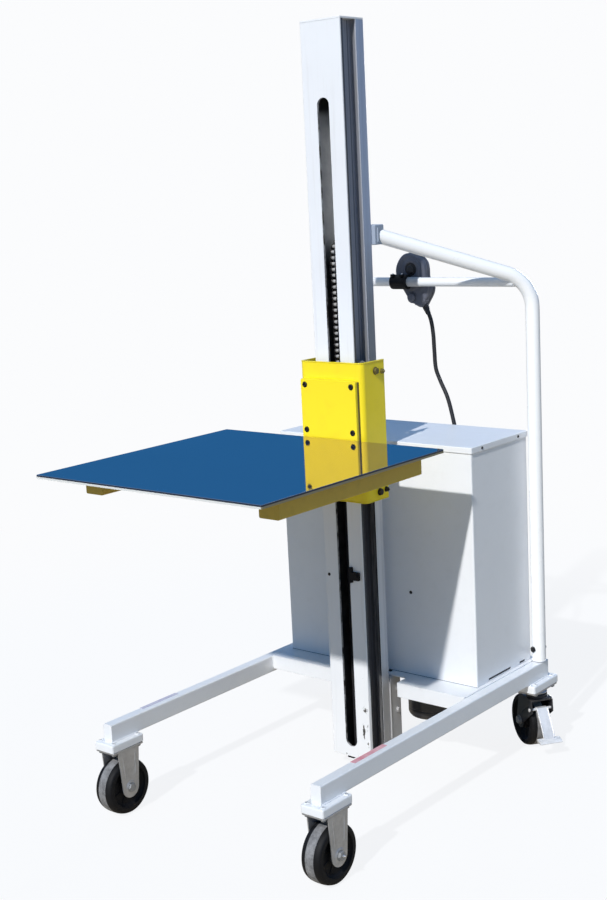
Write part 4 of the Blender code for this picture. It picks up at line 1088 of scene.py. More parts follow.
def hang_links(piece, top_joint, y, first_drop, lowest, first_outer):
    """Links straight down from a joint on the wheel, as far as lowest."""
    joints = [top_joint, Vector((0, y, top_joint.z - first_drop))]
    while joints[-1].z - PITCH > lowest:
        joints.append(Vector((0, y, joints[-1].z - PITCH)))
    add_links(piece, joints, first_outer)


def on_wheel(angle):
    """Point on the pitch circle: 0 at the front, growing over the top to the rear."""
    return Vector((0, DRIVE_Y - CHAIN_R * math.cos(angle), WHEEL_Z + CHAIN_R * math.sin(angle)))


# over the wheel: joints one tooth spacing apart, from a quarter tooth above the front
piece = Piece("chain_wrap", [CHAIN_STEEL, RUBBED_STEEL], "chain_steel", "crosshead")
wheel_joints = [on_wheel(2 * math.pi / TEETH * (k + 0.25)) for k in range(7)]
add_links(piece, wheel_joints, first_outer=True)
piece.finish()

# front strand, down to the carriage lug
piece = Piece("chain_front_links", [CHAIN_STEEL, RUBBED_STEEL], "chain_steel", "crosshead",
              ["chain_front_strand"])
hang_links(piece, wheel_joints[0], FRONT_Y, first_drop=PITCH, lowest=0.8225,
           first_outer=False)
piece.finish(blend=("crosshead", "carriage", (0, FRONT_Y, 1.180), (0, FRONT_Y, 0.826)))

# rear strand, down to the fixed anchor
piece = Piece("chain_rear_links", [CHAIN_STEEL, RUBBED_STEEL], "chain_steel", "base",
              ["chain_rear_strand"])
hang_links(piece, wheel_joints[-1], REAR_Y, first_drop=PITCH * 0.996, lowest=0.6175,
           first_outer=True)
piece.finish(blend=("base", "crosshead", (0, REAR_Y, 0.625), (0, REAR_Y, 1.180)))

# chain wheel: a plain turned roller under the chain rollers, with lightening holes
piece = Piece("chain_sheave", STEEL, "machined_steel", "chain_wheel", ["chain_wheel"])
rim_r = CHAIN_R - LINK_ROLLER_R - 0.00015
wheel = turned(mirrored([(0.0100, -0.0022), (0.0190, -0.0022), (0.0198, -0.0034),
                         (rim_r - 0.0004, -0.0034), (rim_r, -0.0030)]), 72, closed=True)
angles = [2 * math.pi * k / 6 + 0.2 for k in range(6)]
holes = [drill(0.0026, 0.02, at(0.0146 * math.cos(a), 0.0146 * math.sin(a), -0.01), 20)
         for a in angles]
piece.add(cut(wheel, holes), aim(ACROSS, WHEEL_CENTRE))
hub = mirrored([(0.0053, -0.0074), (0.0100, -0.0074), (0.0105, -0.0069)])
piece.add(turned(hub, 40, closed=True), aim(ACROSS, WHEEL_CENTRE))
piece.finish()

piece = Piece("drive_pin_clips", ZINC, "zinc_plate", "crosshead")
for side in BOTH:
    piece.add(ring(0.0078, 0.0051, 0.0009, 28),
              aim((side, 0, 0), (side * 0.0128, DRIVE_Y, WHEEL_Z)))
    piece.add(cylinder(0.0044, 0.0006, 24, 0.0002),
              aim((side, 0, 0), (side * 0.0149, DRIVE_Y, WHEEL_Z)))
piece.finish()

piece = Piece("ram_gland_nut", STEEL, "machined_steel")
gland = at(0, DRIVE_Y, 0.8453)
piece.add(ring(0.0225, 0.0116, 0.0150, 40, 0.0008), gland)
for k in range(4):
    piece.add(block((-0.0022, 0.0022), (0.0212, 0.0236), (0.0025, 0.0125), 0.0006, 1),
              gland @ turn_z(math.pi / 4 + k * math.pi / 2))
piece.finish()

piece = Piece("chain_end_pins", ZINC, "zinc_plate", "carriage")
piece.add(cylinder(0.0030, 0.0270, 20), aim(ACROSS, (-0.0135, -0.0290, 0.8110)))
for side in BOTH:
    piece.add(ring(0.0056, 0.0030, 0.0010, 24),
              aim((side, 0, 0), (side * 0.0112, -0.0290, 0.8110)))
piece.finish()

piece = Piece("chain_anchor_fixings", ZINC, "zinc_plate")
piece.add(cylinder(0.0030, 0.0246, 20), aim(ACROSS, (-0.0123, REAR_Y, 0.6060)))
for side in BOTH:
    piece.add(hexagon(0.0058, 0.0034), aim((side, 0, 0), (side * 0.0112, REAR_Y, 0.6060)))
piece.finish()

# =============================================================== mast details
SWITCH_BACK = -0.0433

# limit switch on the mast front, its mounting tab and the lead into the slot
piece = Piece("limit_switch_body", WHEEL_FACE, "black_plastic", replaces=["limit_switch"])
body = block((0.0240, 0.0460), (-0.0500, SWITCH_BACK), (0.4615, 0.4805), 0.0022, 4, "y")
soften(body, sharp_edges(body), 0.0005, 1)
piece.add(body)
piece.add(block((0.0175, 0.0262), (-0.0478, SWITCH_BACK), (0.4550, 0.4905), 0.0014, 3, "y"))
piece.add(cylinder(0.0036, 0.0016, 24, 0.0004), aim(FORWARD, (0.0405, -0.0500, 0.4710)))
for z in (0.4875, 0.4580):
    piece.add(cylinder(0.0022, 0.0012, 18, 0.0003), aim(FORWARD, (0.0218, -0.0478, z)))
piece.add(tube(spline_path([(0.0190, -0.0455, 0.4560), (0.0160, -0.0452, 0.4505),
                            (0.0135, -0.0420, 0.4440), (0.0130, -0.0345, 0.4370)], 6),
               0.0013, 10))
piece.finish()

piece = Piece("mast_front_screws", DARK_BOLT, "machined_steel")
piece.add(dome_head(0.0038, 0.0022), aim(FORWARD, (-0.043, MAST_FRONT_Y, 0.465)))
piece.finish()

piece = Piece("mast_cap_screws", DARK_BOLT, "machined_steel")
for side in BOTH:
    for y in (-0.030, 0.027):
        piece.add(dome_head(0.0036, 0.0018), aim(UP, (side * 0.0430, y, 1.6801)))
piece.finish()

# foot bracket: two webs, a plate against the mast and a top plate, in grey paint that is painted
# shade
piece = Piece("foot_bracket_plates", SHADED_BRACKET_PAINT, "white_paint",
              replaces=["mast_foot_bracket"])
FOOT_X, FOOT_TOP = (-0.056, 0.056), 0.2102
web = [(0.0470, 0.0525), (0.0780, 0.0525), (0.0798, 0.0545), (0.0798, 0.2060),
       (0.0470, 0.2060)]
for side in BOTH:
    piece.add(sheet(web, 0.0050, 0.0008), stand_yz(side * 0.0535))
piece.add(block(FOOT_X, (0.0403, 0.0483), (0.052, FOOT_TOP), 0.0012))
piece.add(block(FOOT_X, (0.0470, 0.0800), (0.2042, FOOT_TOP), 0.0010))
piece.finish()

# black block under the mast front, standing in for the dark gap there: painted shadow
piece = Piece("mast_foot_shadow_block", WHEEL_FACE, "black_plastic")
piece.add(block((-0.0140, 0.0040), (-0.0424, -0.0350), (0.0282, 0.0345), 0.0014, 3))
piece.finish()

# bolts in the bracket's grey: painted shade
piece = Piece("mast_foot_bolts", SHADED_BRACKET_PAINT, "zinc_plate")
for side in BOTH:
    for z, roll in ((0.125, 2.5), (0.178, 3.56)):
        piece.add(ring(0.0078, 0.0040, 0.0012, 28),
                  aim((side, 0, 0), (side * 0.0560, 0.0655, z)))
        piece.add(hexagon(0.0066, 0.0048),
                  aim((side, 0, 0), (side * 0.0571, 0.0655, z), roll))
piece.finish()

# welds in the bracket's grey: painted shade
piece = Piece("mast_foot_welds", SHADED_BRACKET_PAINT, "white_paint")
for side in BOTH:
    piece.add(weld((side * 0.0552, 0.0398, 0.060), (side * 0.0552, 0.0398, 0.200), 0.0022,
                   seed=11 + side))
piece.add(weld((-0.050, 0.0800, 0.2098), (0.050, 0.0800, 0.2098), 0.0020, seed=14))
piece.finish()

# =============================================================== legs
LEG_X = 0.2895
LEG_Z = (0.1720, 0.2120)
PADS_Y = ((-0.545, -0.450), (0.245, 0.355))

piece = Piece("frame_welds", WHITE, "white_paint")
for side in BOTH:
    x, leg_x, z = side * 0.2768, side * LEG_X, 0.1727
    piece.add(weld((x, 0.020, 0.2124), (x, 0.300, 0.2124), 0.0019, seed=20 + side))
    piece.add(weld((x, 0.0130, 0.182), (x, 0.0130, 0.211), 0.0022, seed=22 + side))
    for start, end in ((-0.527, -0.452), (0.250, 0.330)):
        for offset in (-0.0131, 0.0131):
            piece.add(weld((leg_x + offset, start, z), (leg_x + offset, end, z), 0.0020,
                           seed=int(abs(start) * 1000) + side))
    piece.add(weld((leg_x - 0.011, -0.5297, z), (leg_x + 0.011, -0.5297, z), 0.0021, seed=31))
piece.finish()

# rectangular tubes with rolled corners on two thick pads with rounded top edges
for side_name, side in SIDES:
    x = side * LEG_X
    piece = Piece(f"leg_tube_{side_name}", WHITE, "white_paint",
                  replaces=[f"leg_{side_name}"])
    outside = block((x - 0.0125, x + 0.0125), (-0.5290, 0.3340), LEG_Z, 0.0032, 5, "y")
    bore = block((x - 0.0100, x + 0.0100), (-0.5265, 0.3500), (0.1745, 0.2095),
                 0.0015, 3, "y")
    piece.add(cut(outside, [bore]))
    for pad_y in PADS_Y:
        pad = block((x - 0.0280, x + 0.0280), pad_y, (0.1550, 0.1723), 0.0050, 5, "z")
        soften(pad, edges_where(pad, lambda co: co.z > 0.172), 0.0034, 4)
        soften(pad, edges_where(pad, lambda co: co.z < 0.1551), 0.0008)
        piece.add(pad)
    piece.finish()

piece = Piece("leg_end_caps", WHITE, "white_paint")
for side in BOTH:
    x = side * LEG_X
    piece.add(block((x - 0.0123, x + 0.0123), (0.3342, 0.3362), (0.1722, 0.2118), 0.0008))
    piece.add(block((x - 0.0096, x + 0.0096), (0.3180, 0.3345), (0.1749, 0.2091), 0.0008, 1))
piece.finish()


def ragged_strip(x, y, seed):
    """Thin strip with slightly ragged ends lying on a leg."""
    thickness, steps, ragged = 0.0004, 14, 0.0012
    draw = random.Random(seed)
    width = x[1] - x[0]
    points = [(x[0] + width * k / steps, y[0] + draw.uniform(-ragged, ragged))
              for k in range(steps + 1)]
    points += [(x[1] - width * k / steps, y[1] + draw.uniform(-ragged, ragged))
               for k in range(steps + 1)]
    return placed(sheet(points, thickness), at(0, 0, LEG_Z[1] + thickness / 2))


for name, material, x, y, seed in (
        ("leg_strip_right", RED_STRIP, (0.2782, 0.2905), (-0.404, -0.296), 3),
        ("leg_strip_left", FADED_STRIP, (-0.3010, -0.2900), (-0.420, -0.306), 5)):
    piece = Piece(name, material, "white_paint")
    piece.add(ragged_strip(x, y, seed))
    piece.finish()

# =============================================================== casters
FRONT_CASTER_Y, REAR_CASTER_Y = -0.4975, 0.300
CASTER_PLATE_Z = (0.1503, 0.1546)
WHEEL_R, WHEEL_HALF_W, HUB_HALF_W = 0.0625, 0.0235, 0.0225
FORK_EAR_Y, EAR_T = 0.0260, 0.0030
TRAIL = 0.035                           # rear axle from its king pin
SWIVEL_ANGLE = {"right": math.radians(145.0), "left": math.radians(127.0)}
PEDAL_X, PEDAL_Z = -0.0230, 0.1060      # pedal pivot in the swivel frame

# domed heads above the pads; nuts and thread ends below the caster plates
piece = Piece("caster_bolts", [WHITE, NUT_ZINC], "zinc_plate")
for side in BOTH:
    for caster_y, half_y in ((FRONT_CASTER_Y, 0.0365), (REAR_CASTER_Y, 0.0385)):
        for dx, dy in ((-1, -1), (-1, 1), (1, -1), (1, 1)):
            x, y = side * LEG_X + dx * 0.0203, caster_y + dy * half_y
            piece.add(ring(0.0060, 0.0036, 0.0006, 24), at(x, y, 0.1719))
            piece.add(dome_head(0.0052, 0.0018), at(x, y, 0.1724))
            below = (x, y, CASTER_PLATE_Z[0])
            piece.add(hexagon(0.0056, 0.0046), aim(DOWN, below, 0.3), 1)
            piece.add(cylinder(0.0029, 0.0062, 16, 0.0004), aim(DOWN, below), 1)
piece.finish()


def ear_outline(top_x, centre, radius, top_z):
    """Fork ear, straight down to a round end about the axle."""
    return ([(top_x[0], top_z), (centre[0] - radius, centre[1])]
            + arc(centre, radius, 180, 360, 20)[1:-1]
            + [(centre[0] + radius, centre[1]), (top_x[1], top_z)])


def caster_plate(x, y):
    plate = block(x, y, CASTER_PLATE_Z, 0.005, 5, "z")
    soften(plate, sharp_edges(plate), 0.0005, 1)
    return plate


def pressed_rib(points):
    return tube(points, [0.0008, 0.0014, 0.0008], 8)


def add_wheel(name, body, place, node):
    """Tyre, tread band, core and hub of one caster wheel; local Z is the axle."""
    r, h, hub_h = WHEEL_R, WHEEL_HALF_W, HUB_HALF_W
    tyre = turned(mirrored([
        (0.0405, h - 0.0075),
        # shoulder, from the inside out
        (r - 0.0190, h - 0.0066), (r - 0.0168, h - 0.0042), (r - 0.0158, h - 0.0006),
        (r - 0.0150, h), (r - 0.0090, h), (r - 0.0060, h * 0.985), (r - 0.0034, h * 0.90),
        (r - 0.0018, h * 0.74),
        # running band
        (r - 0.0010, h * 0.62), (r - 0.0003, h * 0.44), (r, h * 0.20)]), 96, closed=True)
    for face in tyre.faces:
        c = face.calc_center_median()
        on_band = math.hypot(c.x, c.y) > r - 0.0011 and abs(c.z) < h * 0.44
        face.material_index = 1 if on_band else 0
    piece = Piece(f"tyre_{name}", [WHEEL_FACE, TREAD], "wheel_rubber", body, [node])
    piece.add(tyre, place)
    piece.finish()

    piece = Piece(f"wheel_core_{name}", WHEEL_FACE, "wheel_rubber", body)
    face = [(0.0170, hub_h - 0.0002), (0.0190, hub_h - 0.0012), (0.0205, h - 0.0070),
            (0.0230, h - 0.0085), (0.0375, h - 0.0085)]
    piece.add(turned(face + [(0.0402, h - 0.0074), (0.0404, -h + 0.0074)]
                     + [(radius, -z) for radius, z in reversed(face)]
                     + [(0.0105, -hub_h + 0.0002), (0.0105, hub_h - 0.0002)],
                     80, closed=True), place)
    for k in range(8):
        for flip in (Matrix.Rotation(math.pi, 4, "X"), Matrix.Identity(4)):
            rib = block((0.0190, 0.0405), (-0.0011, 0.0011), (0, 0.0022), 0.0007)
            piece.add(rib, place @ flip @ turn_z(2 * math.pi * (k + 0.35) / 8)
                      @ at(0, 0, h - 0.0092))
    piece.finish()

    piece = Piece(f"wheel_hub_{name}", ZINC, "zinc_plate", body)
    piece.add(turned(mirrored([(0.0063, -hub_h), (0.0092, -hub_h), (0.0103, -hub_h + 0.0006)]),
                     40, closed=True), place)
    piece.finish()


def add_axle(name, body, place, node):
    """Axle bolt along local X with head, washers, nut and the sleeve ends by the hub."""
    piece = Piece(name, NUT_ZINC, "zinc_plate", body, [node])
    along_x = Matrix.Rotation(math.pi / 2, 4, "Y")
    piece.add(cylinder(0.0060, 0.0650, 28, 0.0008), place @ at(-0.0315, 0, 0) @ along_x)
    piece.add(hexagon(0.0096, 0.0048), place @ at(-0.0287, 0, 0) @ turn_z(math.pi) @ along_x)
    for solid, x in ((ring(0.0112, 0.0060, 0.0012), -0.0290),
                     (ring(0.0112, 0.0060, 0.0010), 0.0277),
                     (hexagon(0.0096, 0.0062), 0.0285),
                     (ring(0.0086, 0.0061, 0.0017, 28, 0.0002), -0.0244),
                     (ring(0.0086, 0.0061, 0.0017, 28, 0.0002), 0.0227)):
        piece.add(solid, place @ at(x, 0, 0) @ along_x)
    piece.finish()


# front: rigid forks
for side_name, side in SIDES:
    x = side * LEG_X
    axle = (x, FRONT_CASTER_Y, WHEEL_R)
    place = at(x, FRONT_CASTER_Y, 0) @ turn_z(math.pi / 2)
    piece = Piece(f"rigid_fork_{side_name}", FORK_ZINC, "zinc_plate",
                  replaces=[f"front_fork_{side_name}"])
    piece.add(caster_plate((-0.0455, 0.0455), (-0.0285, 0.0285)), place)
    for end in BOTH:
        ear = ear_outline((-0.031, 0.031), (0.0, WHEEL_R), 0.0235, 0.1500)
        piece.add(sheet(ear, EAR_T, 0.0006), place @ at(0, end * FORK_EAR_Y, 0) @ STAND_XZ)
        # stamped boss round the axle
        boss = [(0.0062, 0), (0.0150, 0), (0.0140, 0.0010), (0.0062, 0.0012)]
        piece.add(turned(boss, 40, closed=True),
                  place @ at(0, end * 0.0273, WHEEL_R) @ aim((0, end, 0)))
        # bend fillet between plate and ear, then the ribs down the ear
        piece.add(tube([(dx, end * 0.0247, 0.1494) for dx in (-0.030, 0.030)], 0.0016, 10),
                  place)
        for dx in (-0.016, 0.016):
            piece.add(pressed_rib([(dx * 1.15, end * 0.0274, 0.1400),
                                   (dx, end * 0.0276, 0.1050),
                                   (dx * 0.9, end * 0.0274, 0.0880)]), place)
    piece.finish()
    add_wheel(f"front_{side_name}", f"front_wheel_{side_name}", aim(ACROSS, axle),
              f"front_wheel_{side_name}")
    flip = turn_z(math.pi) if side < 0 else Matrix.Identity(4)
    add_axle(f"front_axle_bolt_{side_name}", "base", at(*axle) @ flip,
             f"front_axle_{side_name}")
    piece = Piece(f"grease_fitting_front_{side_name}", ZINC, "zinc_plate")
    fitting = [(0, 0), (0.0028, 0), (0.0028, 0.0020), (0.0016, 0.0028), (0.0016, 0.0046),
               (0.0021, 0.0054), (0.0016, 0.0064), (0, 0.0068)]
    piece.add(turned(fitting, 16),
              aim((side, 0, 0.2), (x + side * 0.0348, FRONT_CASTER_Y, WHEEL_R)))
    piece.finish()

# (radius, z) of the fixed bearing race and king pin, and of the swivel's crown cup
RACE_PROFILE = [
    (0, 0.1226), (0.0084, 0.1226), (0.0084, 0.1262), (0.0061, 0.1264), (0.0061, 0.1406),
    (0.0222, 0.1408), (0.0246, 0.1418), (0.0250, 0.1440), (0.0236, 0.1468), (0.0215, 0.1490),
    (0.0205, 0.1506), (0, 0.1506)]
CUP_PROFILE = [
    (0.0064, 0.1310), (0.0250, 0.1310), (0.0250, 0.1372), (0.0238, 0.1396), (0.0215, 0.1405),
    (0.0064, 0.1405)]
# (x, z) side views in the swivel frame
LEVER = [
    (PEDAL_X + 0.0045, PEDAL_Z + 0.0010), (PEDAL_X + 0.0030, PEDAL_Z + 0.0045),
    (PEDAL_X - 0.0010, PEDAL_Z + 0.0055), (PEDAL_X - 0.0080, PEDAL_Z + 0.0050),
    (-0.0500, 0.0800), (-0.0600, 0.0640), (-0.0650, 0.0520), (-0.0660, 0.0470),
    (-0.0620, 0.0435), (-0.0600, 0.0510), (-0.0545, 0.0600), (-0.0450, 0.0760),
    (PEDAL_X - 0.0030, PEDAL_Z - 0.0050), (PEDAL_X + 0.0030, PEDAL_Z - 0.0040)]
LEVER_EDGE = [(PEDAL_X - 0.0090, PEDAL_Z + 0.0036), (-0.0506, 0.0806), (-0.0606, 0.0646),
              (-0.0656, 0.0520)]
PEDAL_PAD = [
    (-0.0600, 0.0480), (-0.0700, 0.0462), (-0.0770, 0.0440), (-0.0800, 0.0412),
    (-0.0796, 0.0402), (-0.0780, 0.0400), (-0.0640, 0.0400), (-0.0590, 0.0440)]


def add_yoke(side_name, place):
    """Swivel fork: crown with a cup and two ears."""
    piece = Piece(f"swivel_yoke_{side_name}", BLACK_PAINT, "black_paint",
                  f"swivel_{side_name}", [f"swivel_fork_{side_name}"])
    crown = block((-0.030, 0.040), (-0.0275, 0.0275), (0.1275, 0.1315), 0.006, 5, "z")
    piece.add(cut(crown, [drill(0.0064, 0.05, at(0, 0, 0.10))]), place)
    piece.add(turned(CUP_PROFILE, 56, closed=True), place)
    for end in BOTH:
        outline = ear_outline((-0.030, 0.040), (TRAIL, WHEEL_R), 0.019, 0.1290)
        outline.insert(1, (-0.033, 0.1000))
        holes = [drill(radius, 0.02, at(x, z, -0.01), 20)
                 for x, z, radius in ((TRAIL, WHEEL_R, 0.0063), (PEDAL_X, PEDAL_Z, 0.0036))]
        piece.add(cut(sheet(outline, EAR_T, 0.0006), holes),
                  place @ at(0, end * FORK_EAR_Y, 0) @ STAND_XZ)
        piece.add(tube([(x, end * 0.0247, 0.1270) for x in (-0.028, 0.038)], 0.0016, 10),
                  place)
        piece.add(pressed_rib([(-0.022, end * 0.0275, 0.1190), (0.010, end * 0.0276, 0.0980),
                               (0.026, end * 0.0274, 0.0830)]), place)
    piece.finish()


def add_pedal(side_name, place):
    """Brake pedal: pivot pin, formed lever with turned-up edges, pad with grip ribs."""
    piece = Piece(f"brake_lever_{side_name}", PEDAL_ZINC, "zinc_plate",
                  f"brake_pedal_{side_name}", [f"brake_pedal_{side_name}"])
    piece.add(cylinder(0.0033, 0.0600, 20, 0.0005),
              place @ at(PEDAL_X, -0.0300, PEDAL_Z) @ aim(REARWARD))
    for end in BOTH:
        piece.add(cylinder(0.0046, 0.0014, 20, 0.0004),
                  place @ at(PEDAL_X, end * 0.0287, PEDAL_Z) @ aim((0, end, 0)))
    piece.add(sheet(LEVER, 0.0260, 0.0007), place @ STAND_XZ)
    for end in BOTH:
        piece.add(tube([(x, end * 0.0132, z) for x, z in LEVER_EDGE], 0.0013, 8), place)
    piece.add(sheet(PEDAL_PAD, 0.0560, 0.0008), place @ STAND_XZ)
    for k in range(4):
        x, z = -0.0625 - 0.0042 * k, 0.0478 - 0.0011 * k * 1.15
        piece.add(tube([(x, -0.0250, z), (x, 0.0250, z)], 0.0009, 8), place)
    piece.finish()


# rear: swivel casters
for side_name, side in SIDES:
    x = side * LEG_X
    piece = Piece(f"caster_top_plate_{side_name}", FORK_ZINC, "zinc_plate",
                  replaces=[f"rear_caster_plate_{side_name}"])
    piece.add(caster_plate((x - 0.027, x + 0.027),
                           (REAR_CASTER_Y - 0.0525, REAR_CASTER_Y + 0.0525)))
    piece.add(turned(RACE_PROFILE, 56), at(x, REAR_CASTER_Y, 0))
    piece.finish()
    piece = Piece(f"king_pin_nut_{side_name}", ZINC, "zinc_plate")
    piece.add(hexagon(0.0078, 0.0036), aim(DOWN, (x, REAR_CASTER_Y, 0.1260), 0.5))
    piece.finish()
    place = at(x, REAR_CASTER_Y, 0) @ turn_z(SWIVEL_ANGLE[side_name])
    axle = place @ at(TRAIL, 0, WHEEL_R)
    add_yoke(side_name, place)
    add_wheel(f"rear_{side_name}", f"rear_wheel_{side_name}", axle @ aim(REARWARD),
              f"rear_wheel_{side_name}")
    add_axle(f"rear_axle_bolt_{side_name}", f"swivel_{side_name}",
             axle @ turn_z(math.pi / 2), f"rear_axle_{side_name}")
    add_pedal(side_name, place)

# =============================================================== cabinet
MOTOR_X, MOTOR_Y = 0.098, 0.145
CORD_X, CORD_Z = 0.066, 0.700           # where the control cord enters the rear sheet
HOSE_Z = 0.236
LID_TOP = 0.7615

piece = Piece("cabinet_shell", WHITE, "white_paint", replaces=["cabinet_body"])
shell = block((-0.269, 0.269), (0.0787, 0.3130), (0.2141, 0.7590), 0.0035, 4, "z")
cutters = [block((-0.267, 0.267), (0.0807, 0.3110), (0.2161, 0.80), 0.0020, 2, "z"),
           drill(0.058, 0.03, at(MOTOR_X, MOTOR_Y, 0.204), 48),
           drill(0.0072, 0.02, aim(REARWARD, (0, 0.0687, HOSE_Z))),
           drill(0.0055, 0.02, aim(REARWARD, (CORD_X, 0.303, CORD_Z)))]
# slots along the bottom edge of both side sheets
cutters += [block(side_span(side, 0.262, 0.275), y, (0.2160, 0.2216), 0.0012, 2, "x")
            for side in BOTH for y in ((0.127, 0.223), (0.262, 0.286))]
piece.add(cut(shell, cutters))
piece.finish()

piece = Piece("cabinet_lid_cover", WHITE, "white_paint", replaces=["cabinet_lid"])
lid = block((-0.2715, 0.2715), (0.0762, 0.3155), (0.7480, LID_TOP), 0.0040, 4, "z")
soften(lid, edges_where(lid, lambda co: co.z > LID_TOP - 0.0002), 0.0018, 4)
piece.add(cut(lid, [block((-0.2697, 0.2697), (0.0780, 0.3137), (0.72, 0.7597),
                          0.0015, 2, "z")]))
piece.finish()

# dark grey strip under the front sheet, painted shade in the seam with the deck; rubber strips
# behind the side slots
piece = Piece("cabinet_seam_shade_and_slot_seals", [GREY_PLASTIC, RUBBER], "hose_rubber")
piece.add(block((-0.2686, 0.2686), (0.0783, 0.0797), (0.2137, 0.2148), 0.0004, 1))
for side in BOTH:
    piece.add(block(side_span(side, 0.2640, 0.2668), (0.1200, 0.2950), (0.2162, 0.2270),
                    0.0006, 1), material=1)
piece.finish()

piece = Piece("cabinet_screws", DARK_BOLT, "machined_steel")
piece.add(dome_head(0.0040, 0.0024), aim(FORWARD, (0.096, 0.0787, 0.411)))
piece.add(hexagon(0.0044, 0.0032), at(0.036, 0.0700, 0.2137))
for side in BOTH:
    for y in (0.120, 0.272):
        piece.add(dome_head(0.0034, 0.0020), aim((side, 0, 0), (side * 0.2715, y, 0.7545)))
for x in (-0.235, -0.08, 0.08, 0.235):
    piece.add(dome_head(0.0034, 0.0020), aim(REARWARD, (x, 0.3155, 0.7545)))
for x in (-0.245, -0.085, 0.100, 0.245):
    piece.add(dome_head(0.0040, 0.0024), aim(REARWARD, (x, 0.3130, 0.2290)))
piece.finish()

# battery with six cell caps and two carrying handles
BATTERY_TOP = 0.4272
piece = Piece("battery_case", BATTERY, "battery_plastic", replaces=["battery"])
case = block((-0.250, -0.010), (0.105, 0.275), (0.2164, BATTERY_TOP), 0.0065, 4, "z")
soften(case, sharp_edges(case), 0.0012)
piece.add(case)
for k in range(6):
    x = -0.230 + k * 0.040
    piece.add(cylinder(0.0115, 0.0030, 28, 0.0008), at(x, 0.190, BATTERY_TOP))
    piece.add(block((x - 0.0085, x + 0.0085), (0.1885, 0.1915), (0.4300, 0.4316), 0.0005, 1))
for y in (0.1070, 0.2700):
    a, b, c, d = [(x, y, z) for x, z in ((-0.215, 0.4200), (-0.200, 0.4390),
                                         (-0.060, 0.4390), (-0.045, 0.4200))]
    path = fillet_path(a, b, c, 0.006, 6)[:-1] + fillet_path(b, c, d, 0.006, 6)[1:]
    piece.add(tube(path, 0.0022, 10))
piece.finish()

piece = Piece("battery_posts", STEEL, "machined_steel")
for x in (-0.215, -0.045):
    piece.add(cylinder(0.0080, 0.0165, 28, 0.0010, 0.0074), at(x, 0.135, BATTERY_TOP))
piece.finish()

piece = Piece("motor_can", BLACK_PAINT, "black_paint", replaces=["pump_motor"])
MOTOR_PROFILE = [  # (radius, z), from the bottom up
    (0, 0.098), (0.010, 0.098), (0.0105, 0.0995), (0.018, 0.0995), (0.0185, 0.098),
    (0.0440, 0.098), (0.0500, 0.1005), (0.0535, 0.1050), (0.0550, 0.1090), (0.0550, 0.1180),
    (0.0541, 0.1186), (0.0541, 0.1210), (0.0550, 0.1216), (0.0550, 0.2760), (0.0540, 0.2766),
    (0.0540, 0.2790), (0.0550, 0.2796), (0.0550, 0.2940), (0.0510, 0.3000), (0, 0.3000)]
piece.add(turned(MOTOR_PROFILE, 72), at(MOTOR_X, MOTOR_Y, 0))
piece.finish()

piece = Piece("motor_end_screws", ZINC, "zinc_plate")
for a in (0.6, 0.6 + math.pi):
    piece.add(hexagon(0.0052, 0.0036), aim(DOWN, (
        MOTOR_X + 0.036 * math.cos(a), MOTOR_Y + 0.036 * math.sin(a), 0.0980), 0.3))
piece.finish()

# square pump block under a round tank
PUMP_TOP, PUMP_HALF_W = 0.3603, 0.050
piece = Piece("pump_and_tank", STEEL, "machined_steel", replaces=["pump_and_reservoir"])
pump = block((MOTOR_X - PUMP_HALF_W, MOTOR_X + PUMP_HALF_W),
             (MOTOR_Y - PUMP_HALF_W, MOTOR_Y + PUMP_HALF_W), (0.3003, PUMP_TOP),
             0.0035, 3, "z")
soften(pump, sharp_edges(pump), 0.0008)
piece.add(pump)
piece.add(turned([(0, PUMP_TOP), (0.0560, PUMP_TOP), (0.0580, 0.3625), (0.0580, 0.5180),
                  (0.0565, 0.5222), (0.0530, 0.5243), (0, 0.5243)], 72),
          at(MOTOR_X, MOTOR_Y, 0))
piece.add(cylinder(0.0520, 0.0010, 64, 0.0003), at(MOTOR_X, MOTOR_Y, 0.3598))
piece.finish()

piece = Piece("pump_fittings", ZINC, "zinc_plate")
leftward = (-1, 0, 0)
piece.add(hexagon(0.0098, 0.0090), aim(leftward, (0.0478, 0.112, 0.330)))
for z in (0.3170, 0.3450):
    piece.add(hexagon(0.0075, 0.0080), aim(leftward, (MOTOR_X - PUMP_HALF_W, 0.165, z)))
for k in range(4):
    a = math.pi / 4 + k * math.pi / 2
    piece.add(dome_head(0.0040, 0.0034), aim(UP, (
        MOTOR_X + 0.0615 * math.cos(a), MOTOR_Y + 0.0615 * math.sin(a), PUMP_TOP)))
piece.finish()

# hose from the ram through the cabinet front, sweeping up to the pump
piece = Piece("pressure_hose", RUBBER, "hose_rubber", replaces=["hydraulic_hose"])
path = [(0.0, y, HOSE_Z) for y in (0.0185, 0.050, 0.0920)]
for k in range(1, 15):
    a = math.pi / 2 * k / 14
    path.append((0.028 * (1 - math.cos(a)), 0.0920 + 0.020 * math.sin(a),
                 HOSE_Z + 0.094 * a / (math.pi / 2)))
path.append((0.0477, 0.1120, 0.330))
piece.add(tube(path, 0.0060, 20))
piece.finish()

# =============================================================== handle
RAIL_Y = 0.316
BAR_Y, BAR_Z = 0.288, 1.102             # crossbar between the rails


def rail(side):
    """Upright tube that bends inward and forward to the mast."""
    x = side * LEG_X
    path = fillet_path((x, RAIL_Y, 0.2140), (x, RAIL_Y, 1.103),
                       (side * 0.046, 0.061, 1.2245), 0.085, 22)
    return tube(path, 0.0160, 40)


